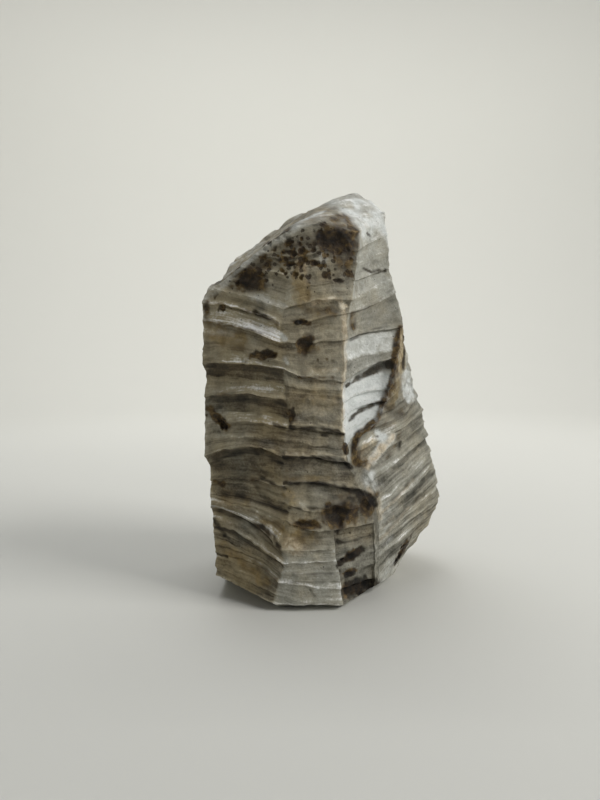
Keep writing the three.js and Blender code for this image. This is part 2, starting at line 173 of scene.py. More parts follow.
# How ragged the lips are, and how the whole surface and the slopes are roughened, as (size of the
# lumps or splinters, height), in millimetres. The lips are less ragged where a bed is thin.
lip_waves = [(11, 0.45), (4, 0.3), (1.6, 0.2)]
surface_lumps = [(10, 0.2), (4.2, 0.1), (2.0, 0.13)]
surface_chips = [(6.5, 0.5), (3.2, 0.22)]
slope_lumps = [(12, 0.5), (5, 0.45)]
slope_ledge_spacing, slope_ledge_height = 6.5, 1.1
thin_bed, least_ragged = 5, 0.3

# The relief of the beds is stronger in some patches than in others, by this share, and the laminae
# show in smaller patches.
lip_patches, patch_share, lamina_patches = 13, 0.45, 8

# Each bed's noise is taken this far from the last one's, so that no two beds are alike.
bed_apart = 37

# Where the stone swells out of its plain form: the middle, how far it moves and over what distance.
swellings = [((-46, 12, 158), (-1.1, 0, 2.6), 13)]


def lattice_noise(points, size, seed):
    """Smooth noise of about -1 to 1 at points, an array of x, y, z, with lumps of that size."""
    cells, off_centre, gain = 32, 500, 1.6
    table = np.random.default_rng(seed).uniform(-1, 1, (cells, cells, cells))
    scaled = np.asarray(points, float) / size + off_centre
    cell = np.floor(scaled).astype(int)
    part = scaled - cell
    part = part * part * (3 - 2 * part)
    total = np.zeros(len(scaled))
    for corner in np.ndindex(2, 2, 2):
        at = (cell + corner) % cells
        weight = np.where(np.array(corner) == 1, part, 1 - part).prod(axis=1)
        total += weight * table[at[:, 0], at[:, 1], at[:, 2]]
    return total * gain


def lumps(points, layers, seed):
    """Layers of smooth noise, one over the other."""
    return sum(height * lattice_noise(points, size, seed + i) for i, (size, height) in enumerate(layers))


def chips(points, layers, seed):
    """Flat splinters that meet at edges, as tilted planes round scattered middles."""
    cells, off_centre, sharpness = 16, 100, 9
    draw = np.random.default_rng(seed)
    total = np.zeros(len(points))
    for size, height in layers:
        offset, tilt = draw.uniform(0, 1, (2, cells, cells, cells, 3))
        scaled = points / size + off_centre
        cell = np.floor(scaled).astype(int)
        weight_sum, plane_sum = np.zeros(len(points)), np.zeros(len(points))
        for corner in np.ndindex(3, 3, 3):
            at = cell + corner - 1
            inside = tuple((at % cells).T)
            away = scaled - at - offset[inside]
            weight = np.exp(-sharpness * (away ** 2).sum(axis=1))
            weight_sum += weight
            plane_sum += weight * (away * (tilt[inside] * 2 - 1)).sum(axis=1)
        total += height * plane_sum / weight_sum
    return total


def smooth_step(low, high, value):
    """Runs from 0 at low to 1 at high, and level at both ends. Low may be the larger number."""
    share = np.clip((value - low) / (high - low), 0, 1)
    return share * share * (3 - 2 * share)


def mix(a, b, share):
    """Runs from a, where the share is 0, to b, where it is 1."""
    return a + (b - a) * share


arris_lines = [np.array(line, float) for line in arrises.values()]
flank_facets, flank_bow, flank_fade, flank_laminae = (
    np.array([flank[key] for flank in flanks.values()]) for key in ("facets", "bow", "fade", "laminae")
)


def arris_points(height):
    """Where every arris is at the given heights: an array of arris, point and x or y."""
    return np.array([
        np.stack([np.interp(height, line[:, 0], line[:, axis]) for axis in (1, 2)], axis=1)
        for line in arris_lines
    ])


def flank_heights(at):
    """A bedding line's heights at the start, middle and end of every flank."""
    edge, mid_left, front_left, mid_front, front_right, mid_scar, ridge, mid_right, bulge = at
    step = mix(mid_front, front_right, step_share)
    behind_right = bulge + bed_rise["back_right"]
    behind_left = edge + bed_rise["back_left"]
    return np.array([
        (edge, mid_left, front_left),
        (front_left, mid_front, step),
        (step, mix(step, front_right, 0.5), front_right),
        (front_right, mid_scar, ridge),
        (ridge, mid_right, bulge),
        (bulge, mix(bulge, behind_right, 0.6), behind_right),
        (behind_right, mix(behind_right, behind_left, 0.5) + back_crest, behind_left),
        (behind_left, mix(behind_left, edge, 0.4), edge),
    ])


def flank_reliefs(relief, index):
    """What a line does on every flank: the surface above it and below it, and 1 where it is a flute."""
    behind, back_middle = (back_relief[i % len(back_relief)] for i in (index, index + 1))
    rest = (behind, back_middle, behind)
    sides = []
    for value in (*relief, *rest):
        if isinstance(value, tuple):
            sides.append((*value, 0))
        else:
            sides.append((0, -value, 0) if value > 0 else (value, value, 1))
    return np.array(sides, float)


line_heights = np.array([flank_heights(at) for at, _ in bedding])
line_reliefs = np.array([flank_reliefs(relief, i) for i, (_, relief) in enumerate(bedding)])


def neighbour_of(flank, share, height):
    """The flank that a place fades to, and how far: at an arris both flanks count the same."""
    joint = mix(*joint_fade, smooth_step(*joint_heights, height))
    start = np.where(flank == front_corner, joint, flank_fade[flank, 0])
    end = np.where(flank == front, joint, flank_fade[flank, 1])
    before = share < start
    other = np.where(before, flank - 1, flank + 1) % len(flanks)
    weight = np.where(before, 1 - share / start, np.maximum(0, 1 - (1 - share) / end))
    return other, 0.5 * weight


def outward_of(corners, flank):
    """The level direction straight out of a flank that runs between two of those corners."""
    each = np.arange(len(flank))
    along = corners[(flank + 1) % len(flanks), each] - corners[flank, each]
    along /= np.linalg.norm(along, axis=1)[:, None]
    return np.stack([along[:, 1], -along[:, 0]], axis=1)


def surface_points(flank, share, height, relief):
    """Points of the flanks at those heights, that far out of the plain flank."""
    corners = arris_points(height)
    each = np.arange(len(flank))
    start, end = corners[flank, each], corners[(flank + 1) % len(flanks), each]
    other, weight = neighbour_of(flank, share, height)
    outward = mix(outward_of(corners, flank), outward_of(corners, other), weight[:, None])
    outward /= np.linalg.norm(outward, axis=1)[:, None]
    width = np.linalg.norm(end - start, axis=1)
    out = relief + 4 * flank_bow[flank] * width * share * (1 - share)
    flat = mix(start, end, share[:, None]) + outward * out[:, None]
    return np.column_stack([flat, height])


def plan_of(flank, share):
    """Where a place is in plan, on a level near the middle of the stone."""
    middle_level = 80.0
    return surface_points(flank, share, np.full(len(flank), middle_level), np.zeros(len(flank)))


def bedding_heights(flank, share):
    """The heights of every bedding line at those places, ragged as the lips are: line by place."""
    start, middle, end = (line_heights[:, flank, i] for i in range(3))
    sag = 4 * (middle - (start + end) / 2)
    plain = mix(start, end, share) + sag * share * (1 - share)
    plan = plan_of(flank, share)
    ragged = np.array([lumps(plan + (0, 0, bed_apart * i), lip_waves, 11) for i in range(len(bedding))])
    calm = np.clip(np.diff(plain, axis=0).min(axis=0) / thin_bed, least_ragged, 1)
    return plain + ragged * calm


# Rows up the stone: from the foot, which the base cuts off, to the first line, then just under each
# lip, on it, and up the bed above it.
foot_steps = round((line_heights[0].mean() - foot_height) / row_height)
rows = [(-1, step / foot_steps) for step in range(foot_steps)]
for line in range(len(bedding)):
    rows += [(line, -1), (line, 0)]
    if line < len(bedding) - 1:
        thickness = (line_heights[line + 1] - line_heights[line]).mean()
        steps = max(least_rows, round(thickness / row_height))
        rows += [(line, step / steps) for step in range(1, steps)]
rows.append((len(bedding), 0))
row_line = np.array([line for line, _ in rows])
row_share = np.array([share for _, share in rows], float)
row_step = np.array([
    0 if share <= 0 else i - max(j for j in range(i) if rows[j][1] == 0)
    for i, (_, share) in enumerate(rows)
])

column_flank = np.repeat(np.arange(len(flanks)), flank_facets)
column_share = np.concatenate([np.arange(facets) / facets for facets in flank_facets])
column_lines = bedding_heights(column_flank, column_share)


def flank_surface(column, row):
    """The place of every vertex, given its column round the stone and its row up it.

    Up a bed the surface swings from what the line under it does to what the line over it does. It
    leaves a lip at a slope and the bottom of a flute level.
    """
    flank, share = column_flank[column], column_share[column]
    last = len(bedding) - 1
    lower = np.clip(row_line[row], 0, last)
    upper = np.clip(row_line[row] + 1, 0, last)
    t = np.clip(row_share[row], 0, 1)
    under = row_share[row] < 0
    in_foot = row_line[row] < 0
    in_head = row_line[row] > last
    bottom = np.where(in_foot, foot_height, column_lines[lower, column])
    height = mix(bottom, column_lines[upper, column] - lip_thickness, t)
    height = np.where(under, column_lines[lower, column] - lip_thickness, height)
    height = np.where(in_head, head_height, height)
    other, weight = neighbour_of(flank, share, height)

    def relief(line, side):
        return mix(line_reliefs[line, flank, side], line_reliefs[line, other, side], weight)

    plan = plan_of(flank, share)
    patch = np.column_stack([plan[:, :2], bed_apart * lower])
    strength = 1 + patch_share * lattice_noise(patch, lip_patches, 5)
    above, head = relief(lower, 0) * strength, relief(upper, 1) * strength
    above = np.where(in_foot, 0, above)
    slope_low = (head - above) * (1 - relief(lower, 2)) * lip_flare
    slope_high = (head - above) * (1 - relief(upper, 2)) * lip_flare
    bed = (above * (1 + 2 * t) * (1 - t) ** 2 + head * t * t * (3 - 2 * t)
           + slope_low * t * (1 - t) ** 2 - slope_high * t * t * (1 - t))
    sag = mix(bed_sag[flank], bed_sag[other], weight)
    bed -= 4 * sag * t * (1 - t)
    lamina = (row_step[row] % lamina_rows) / lamina_rows
    worn = smooth_step(-0.5, 0.9, lattice_noise(patch + (0, 0, 9), lamina_patches, 23))
    bed -= mix(flank_laminae[flank], flank_laminae[other], weight) * lamina * worn * (t > 0)
    bed = np.where(under, relief(lower, 1) * strength, bed)
    bed = np.where(in_head, 0, bed)

    from_edge = np.where(flank == left, share, np.where(flank == back_left, 1 - share, 1))
    bed *= mix(left_edge_relief, 1, np.minimum(1, from_edge / flank_fade[left, 0]))
    corners = arris_points(height)
    width_scar = np.linalg.norm(corners[scar + 1] - corners[scar], axis=1)
    width_right = np.linalg.norm(corners[right + 1] - corners[right], axis=1)
    on_scar = np.where(flank == scar, (1 - share) * width_scar, np.inf)
    from_ridge = np.where(flank == right, share * width_right, on_scar)
    on_ridge = smooth_step(ridge_from, ridge_from + ridge_ends, height)
    on_ridge *= smooth_step(ridge_to, ridge_to - ridge_ends, height)
    bed += ridge_height * on_ridge * np.exp(-(from_ridge / ridge_half_width) ** 2)
    return surface_points(flank, share, height, bed)


stone = bmesh.new()
bmesh.ops.create_cone(
    stone, cap_ends=True, cap_tris=False, segments=len(column_flank), radius1=1, radius2=1, depth=1,
)
uprights = [edge for edge in stone.edges if abs(edge.verts[0].co.z - edge.verts[1].co.z) > 0.5]
bmesh.ops.subdivide_edges(stone, edges=uprights, cuts=len(rows) - 2, use_grid_fill=True)
unit = np.array([vertex.co for vertex in stone.verts])
turn = np.arctan2(unit[:, 1], unit[:, 0]) / (2 * math.pi)
vertex_column = np.round(turn * len(column_flank)).astype(int) % len(column_flank)
vertex_row = np.round((unit[:, 2] + 0.5) * (len(rows) - 1)).astype(int)
for vertex, place in zip(stone.verts, flank_surface(vertex_column, vertex_row)):
    vertex.co = place

# Plane breaks: each takes off what lies beyond a point in its direction, and leaves one flat face.
cut_tolerance = 0.0001
breaks = [
    ("base", (0, 0, 0), (0, 0, -1)),
    ("under_left_lip", (-48.6, -30, 10), (-0.424, -0.348, -0.837)),
    ("under_front_lip", (-6, -47.5, 3), (0, -0.45, -0.89)),
    ("under_corner", (9.4, -46.3, 2.8), (0.46, -0.34, -0.82)),
    ("long_slope", (-54, -32, 135), (-0.628, -0.236, 0.742)),
    ("upper_slope", (-8.5, -5, 179.5), (-0.5, -0.29, 0.815)),
    ("crown_left", (-1.3, -7, 182.1), (-0.41, -0.12, 0.905)),
    ("slope_foot", (-53.4, -32, 134.5), (-0.83, -0.1, 0.55)),
    ("crown_front", (-15, -43, 163), (-0.137, -0.506, 0.852)),
    ("crown_cap", (12, -12, 189.5), (-0.11, -0.12, 0.987)),
    ("crown_shoulder", (22.2, -15, 186.3), (0.54, -0.05, 0.84)),
    ("crown_side", (28.2, -15, 181.8), (0.78, -0.08, 0.62)),
    ("crown_rim", (30.6, -15, 175.3), (0.93, -0.1, 0.37)),
    ("crown_facet", (18, -35, 163.5), (0.3, -0.64, 0.7)),
    ("crown_back", (10, 6, 188), (0.05, 0.42, 0.905)),
    ("back_spall", (38, 40, 118), (0.5, 0.78, 0.38)),
    ("back_left_spall", (-40, 36, 60), (-0.72, 0.68, -0.12)),
    ("back_top_spall", (-20, 32, 160), (-0.1, 0.88, 0.46)),
]
break_layer = stone.faces.layers.int.new("break")
for number, (name, at, facing) in enumerate(breaks, start=1):
    cut = bmesh.ops.bisect_plane(
        stone, geom=[*stone.verts, *stone.edges, *stone.faces], dist=cut_tolerance,
        plane_co=at, plane_no=facing, clear_outer=True,
    )
    rim = [item for item in cut["geom_cut"] if isinstance(item, bmesh.types.BMEdge)]
    for face in bmesh.ops.holes_fill(stone, edges=rim, sides=0)["faces"]:
        face[break_layer] = number

# The fresh faces of the breaks are split into small squares along two of the stone's axes, so that
# they can be worn and roughened like the flanks. The base stays one flat face.
break_grid = 1.5


def breaks_named(word):
    """The numbers of the breaks with that word in their names."""
    return {number for number, (name, _, _) in enumerate(breaks, start=1) if word in name}


steep_breaks = {number for number, (_, _, facing) in enumerate(breaks, start=1) if abs(facing[1]) > 0.6}
steep_breaks |= breaks_named("under")
level_breaks = breaks_named("") - breaks_named("base") - steep_breaks


def split_squares(numbers, directions):
    """Splits the faces of those breaks into strips across each direction in turn."""
    for direction in directions:
        left_over = {face for face in stone.faces if face[break_layer] in numbers}
        reach = [vertex.co.dot(direction) for face in left_over for vertex in face.verts]
        for offset in np.arange(min(reach) + break_grid / 2, max(reach), break_grid):
            edges = {edge for face in left_over for edge in face.edges}
            verts = {vertex for face in left_over for vertex in face.verts}
            cut = bmesh.ops.bisect_plane(
                stone, geom=[*verts, *edges, *left_over], dist=cut_tolerance,
                plane_co=direction * offset, plane_no=direction,
            )
            faces = [item for item in cut["geom"] if isinstance(item, bmesh.types.BMFace)]
            left_over = {face for face in faces if face.calc_center_median().dot(direction) > offset}


sideways, backward, upward = (Vector(direction) for direction in np.eye(3))
split_squares(level_breaks, (sideways, backward))
split_squares(steep_breaks, (sideways, upward))

# The crown and the slopes are worn round, more than the flanks under them.
crown_breaks = breaks_named("crown")
worn_breaks = crown_breaks | breaks_named("slope")


def wear(numbers, turns, rims_too):
    """Rounds off the given breaks, with the rims that they share with the flanks or without them."""
    worn = [
        vertex for vertex in stone.verts
        if any(face[break_layer] in numbers for face in vertex.link_faces)
        and (rims_too or all(face[break_layer] for face in vertex.link_faces))
    ]
    for _ in range(turns):
        bmesh.ops.smooth_vert(
            stone, verts=worn, factor=0.5, use_axis_x=True, use_axis_y=True, use_axis_z=True,
        )


wear(crown_breaks, 16, rims_too=False)
wear(crown_breaks, 16, rims_too=True)
wear(worn_breaks, 6, rims_too=True)

# Hollows where grains and rusty pockets fell out, each by its middle, half sizes and lean in the front
# view, in millimetres and degrees. The small pits of the rusty zone under the crown join them.
hollows = [
    ((7.8, -45, 42), (7.4, 5, 4.4), -4),
    ((19.7, -38, 43.6), (4, 5, 4.6), 0),
    ((-7.9, -44.8, 114.9), (3.6, 3.2, 3.2), -20),
    ((-7.4, -47.2, 37.7), (6.2, 3.4, 1.8), 4),
    ((13.3, -41.5, 21.9), (6, 4, 1.7), -18),
    ((12.5, -42, 14.6), (2.8, 3, 1.4), 0),
    ((6.5, -41.6, 159), (7.6, 3.4, 5.8), 8),
    ((9.9, -42.4, 69.5), (1.6, 2.4, 2.3), 0),
    ((-25.4, -42.4, 110.3), (5.6, 2.2, 2), -6),
    ((-13.4, -45.6, 84.7), (1.8, 2.6, 2.8), 0),
    ((-46.9, -35, 82.5), (6, 3.4, 1.8), 42),
    ((-31.8, -41.4, 143), (5.4, 2.8, 5), 30),
    ((40.2, -14.5, 15.6), (6.4, 2.6, 1.5), -55),
    ((1, -43.2, 144.5), (1.6, 1.8, 1.4), 0),
    ((11, -40.8, 144.8), (1.9, 2, 1.7), 0),
    ((-13.4, -43, 153.4), (1.6, 1.8, 2.2), 0),
    ((-8.9, -43.2, 153.2), (2.4, 1.7, 1.3), 0),
    ((-9.6, -43.2, 148.8), (1.6, 1.8, 2.0), 0),
    ((-4.6, -43, 149.2), (1.8, 1.8, 1.6), 0),
    ((0.6, -42.4, 152.7), (1.1, 1.4, 1.1), 0),
    ((0.6, -42.8, 148), (1.1, 1.4, 1.1), 0),
    ((-17, -42.2, 160.8), (1.9, 1.8, 2.2), 0),
    ((-47.4, -34.6, 137.6), (1.5, 1.6, 1.7), 0),
    ((-44.3, -35.4, 131), (1.9, 1.6, 1.5), 0),
    ((-9.2, -44.8, 124.2), (3.2, 1.8, 1.2), 6),
]

# How far out of a hollow the mesh is made finer, as a share of its size, and how far before and behind
# its middle a hollow acts.
hollow_margin, hollow_reach = 1.5, 8

# The small pits: how many are drawn, the share of those that is made, their zone across and up, their
# half sizes, how wide, deep and high they are for their size, how far their middles lie before the
# skin and at most beside it, and how far they lean at most.
small_pits, small_pit_share = 70, 1.0
small_pit_zone, small_pit_sizes = ((-40, 13), (141, 164)), (0.7, 1.6)
small_pit_widths, small_pit_depth, small_pit_heights = (0.8, 1.4), 0.9, (0.7, 1.1)
small_pit_forward, small_pit_beside, small_pit_lean = 0.3, 1.2, 30

draw = np.random.default_rng(8)
stone.normal_update()
skin = np.array([vertex.co for vertex in stone.verts])
facing_front = np.array([vertex.normal.y for vertex in stone.verts]) < -0.3
front_skin = skin[facing_front]
for _ in range(small_pits):
    x, z = (draw.uniform(low, high) for low, high in small_pit_zone)
    half = draw.uniform(*small_pit_sizes)
    nearest = front_skin[np.argmin(np.hypot(front_skin[:, 0] - x, front_skin[:, 2] - z))]
    beside = math.hypot(nearest[0] - x, nearest[2] - z)
    if beside < small_pit_beside and draw.uniform() < small_pit_share:
        width, height = draw.uniform(*small_pit_widths), draw.uniform(*small_pit_heights)
        lean = draw.uniform(-small_pit_lean, small_pit_lean)
        shape = (half * width, half * small_pit_depth, half * height)
        hollows.append(((x, nearest[1] - small_pit_forward, z), shape, lean))


def in_hollow(points, at, half, lean):
    """How far points are out of a hollow's middle, 1 at its ragged edge, and how far behind it."""
    raggedness, least_lump, lump_share = 0.3, 1.4, 0.8
    away = points - np.array(at)
    turn = math.radians(lean)
    across = away[:, 0] * math.cos(turn) - away[:, 2] * math.sin(turn)
    up = away[:, 0] * math.sin(turn) + away[:, 2] * math.cos(turn)
    out = np.hypot(across / half[0], up / half[2])
    close = out < 3
    size = max(least_lump, min(half[0], half[2]) * lump_share)
    out[close] *= 1 + raggedness * lattice_noise(points[close], size, 41)
    return out, away[:, 1]


near = np.zeros(len(skin), bool)
for at, half, lean in hollows:
    out, depth = in_hollow(skin, at, half, lean)
    near |= facing_front & (out < hollow_margin) & (np.abs(depth) < hollow_reach)
fine = [edge for edge in stone.edges if near[edge.verts[0].index] and near[edge.verts[1].index]]
bmesh.ops.subdivide_edges(stone, edges=fine, cuts=1, use_grid_fill=True)
stone.verts.index_update()
stone.normal_update()

skin = np.array([vertex.co for vertex in stone.verts])
normals = np.array([vertex.normal for vertex in stone.verts])
on_break = np.array([
    all(face[break_layer] for face in vertex.link_faces) for vertex in stone.verts
])
on_crown = np.array([
    any(face[break_layer] in crown_breaks for face in vertex.link_faces) for vertex in stone.verts
])


def locate(points):
    """The flank that each point is on, and its share of the way across it."""
    corners = arris_points(points[:, 2])
    best = np.full(len(points), np.inf)
    flank, share = np.zeros(len(points), int), np.zeros(len(points))
    for number in range(len(flanks)):
        start, end = corners[number], corners[(number + 1) % len(flanks)]
        across = end - start
        along = ((points[:, :2] - start) * across).sum(axis=1) / (across ** 2).sum(axis=1)
        along = np.clip(along, 0, 0.999)
        gap = np.linalg.norm(points[:, :2] - start - across * along[:, None], axis=1)
        closer = gap < best
        best[closer], flank[closer], share[closer] = gap[closer], number, along[closer]
    return flank, share


# Where every vertex is in the beds: its flank, its place round the stone in columns, its bed, and how
# far up that bed it is, from 0 to 1.
flank, share = locate(skin)
round_stone = (np.cumsum(flank_facets) - flank_facets)[flank] + share * flank_facets[flank]
lines = np.array([
    np.interp(round_stone, np.arange(len(line) + 1), np.append(line, line[0])) for line in column_lines
])
bed = np.clip((lines <= skin[:, 2]).sum(axis=0) - 1, 0, len(bedding) - 2)
each = np.arange(len(skin))
bed_foot, bed_head = lines[bed, each], lines[bed + 1, each]
up_bed = np.clip((skin[:, 2] - bed_foot) / (bed_head - bed_foot), 0, 1)

# The broken surface is lumpy all over, least on the smooth shells of the scar and on the worn crown,
# and the base is flat. The slopes and the crown, the cap, cut across the beds, which tilt up to the
# right and to the back and show there as low ledges, in places worn away.
flank_lumpiness = np.array([1.0, 0.9, 0.9, 0.45, 0.6, 1.2, 1.3, 1.2])
crown_lumpiness = 0.6
lump_bias = 0.15
bed_tilt, bed_middle = (0.16, 0.15), (-2, -5)
cap_from = 100
on_base = skin[:, 2] < 0.1
cap = on_break & (skin[:, 2] > cap_from)
lump_strength = np.where(on_crown, crown_lumpiness, flank_lumpiness[flank]) * ~on_base
rough = lumps(skin, surface_lumps, 61) + chips(skin, surface_chips, 62) - lump_bias
tilted = skin[:, 2] - (skin[:, :2] - bed_middle) @ bed_tilt
# Up each ledge from 0 to 1: it rises slowly, falls off steeply at its edge, and painted shade lies on
# the riser at the edge.
up_ledge = np.mod(tilted / slope_ledge_spacing + 0.35 * lattice_noise(skin, 14, 64), 1)
unworn = smooth_step(-0.5, 0.7, lattice_noise(skin, 10, 65))
ledge_riser_shade = smooth_step(0.7, 0.85, up_ledge) * smooth_step(1, 0.92, up_ledge) * unworn
ledge = slope_ledge_height * (smooth_step(0, 0.8, up_ledge) - smooth_step(0.8, 1, up_ledge) - 0.5)
ledge *= unworn
rough += np.where(cap, lumps(skin, slope_lumps, 63) + ledge, 0)
moved = skin + normals * (lump_strength * rough)[:, None]
for middle, swell, reach in swellings:
    near_middle = np.exp(-(((skin - middle) / reach) ** 2).sum(axis=1))
    moved += np.array(swell) * near_middle[:, None]
above_base = 0.02
moved[:, 2] = np.where(on_base, 0, np.maximum(moved[:, 2], above_base))

# Small facets where a splinter came off flat: a point, its direction, and half sizes and lean in the
# front view. What stands out of a facet is taken off, and what lies under it is filled a little.
facet_reach, facet_fill = 6, 0.25
facets = [
    ((29.5, -27.2, 69.2), (0.42, -0.86, 0.28), (9.5, 9), 10),
    ((22, -34.6, 54.6), (0.3, -0.93, 0.2), (5.4, 6.8), 0),
]
for at, facing, (half_x, half_z), lean in facets:
    direction = np.array(Vector(facing).normalized())
    out, _ = in_hollow(moved, at, (half_x, 1, half_z), lean)
    beyond = (moved - np.array(at)) @ direction
    close_by = (normals[:, 1] < 0) & (np.abs(beyond) < facet_reach)
    taken = np.where(close_by, 1 - smooth_step(0.8, 1.05, out), 0)
    moved -= direction * (np.maximum(beyond, -facet_fill) * taken)[:, None]

# Each hollow is sunk in and darkened with painted shade, darkest from this depth on, and rust has bled a
# little way out over its edge.
full_shade_depth = 2.4
pit_shade, bled = np.zeros((2, len(skin)))
for at, half, lean in hollows:
    out, depth = in_hollow(moved, at, half, lean)
    floor_y = at[1] + half[1] * np.sqrt(np.clip(1 - out ** 2, 0, 1))
    around = (normals[:, 1] < -0.2) & (np.abs(depth) < hollow_reach)
    inside = around & (out < 1)
    sunk = np.where(inside, np.maximum(0, floor_y - moved[:, 1]), 0)
    moved[:, 1] += sunk
    pit_shade = np.maximum(pit_shade, np.clip(sunk / full_shade_depth, 0, 1))
    bleeding = smooth_step(1 + 0.1 * min(half[0], 6), 0.8, out)
    bled = np.maximum(bled, np.where(around, bleeding, 0))
for vertex, place in zip(stone.verts, moved):
    vertex.co = place

# How pale or dark each bed is, from about -1 to 1, from the lowest bed up, on every flank that shows in
# front. Beds past the end of a row are 0.
bed_tones = {
    left: [
        -0.2, -0.3, -0.45, 0, -0.2, 0.4, 0.65, -0.65, -0.5, -0.45, -0.65, -0.2, -0.15, 1, -0.95, 0.75,
        -1, 0.7, 0.05, 1, 0.6, 0.1, -0.3, -0.3, -0.4, -0.4,
    ],
    front: [
        0.75, 0.8, 0.7, 0.8, 0.45, 0.45, 0.1, 0.05, 0.1, -0.3, -0.65, -0.35, -0.45, -0.05, -0.2, -0.45,
        0, 0.4, -0.25, 0, -0.2, 0.2, -0.2, -0.5, -0.5, -0.4,
    ],
    front_corner: [
        -0.4, -0.5, -0.75, -0.5, -0.3, -0.45, -0.4, -0.5, -0.1, -0.3, -0.65, -0.35, -0.45, -0.05, -0.2,
        -0.45, 0, 0.4, -0.25, 0, -0.2, 0.2, -0.2, -0.5, -0.5, -0.4,
    ],
    scar: [0] * 9 + [0.1, 0.2, 0.4, 1, 1.1, 0.9, 1, 0.3, 0.1, 0.75, 0.15, 0.6, 0.5, 0.5, 0.5, 0.5, 0.5],
    right: [0.3, 0.1, 0, -0.15, 0, 0.25, -0.1, 0.3, -0.25, 0.1, -0.3, 0.1, -0.15, -0.05, 0.1, 0.3, 0.2],
}

# Behind, the beds take these tones in turn, each flank in a stride of its own.
back_tones = (0.25, -0.35, 0.1, -0.15, 0.3, -0.45, 0.0)
back_strides = {back_right: 3, back: 4, back_left: 5}

# How chalky each bed of the scar is, in the same way.
chalk_beds = {
    scar: [0] * 11 + [0.2, 1, 1, 0.75, 0.95, 0.3, 0.15, 0.4, 0.05, 0.12, 0.2, 0.15, 0.15, 0.2, 0.2],
}

# How far under and over its line one bed's tone runs into the next one's, in millimetres, the flanks
# whose colours end sharply at the arris, and the slopes whose rims are painted pale, as rubbed wear and
# as a painted highlight.
line_softness = (-0.8, 0.45)
crisp_flanks = (left, front, front_corner, scar)
rubbed_and_lit_rims = ("long_slope", "upper_slope")

# How brown the stone is, from 0 for grey to 1, and how clearly its thin layers show, on every flank
# and across the slopes.
browns = np.array([0.7, 0.5, 0.35, 0.1, 0.02, 0.25, 0.35, 0.5])
layerings = np.array([0.85, 0.5, 0.3, 0.25, 1.35, 0.9, 0.9, 0.9])
cap_layering = 0.8
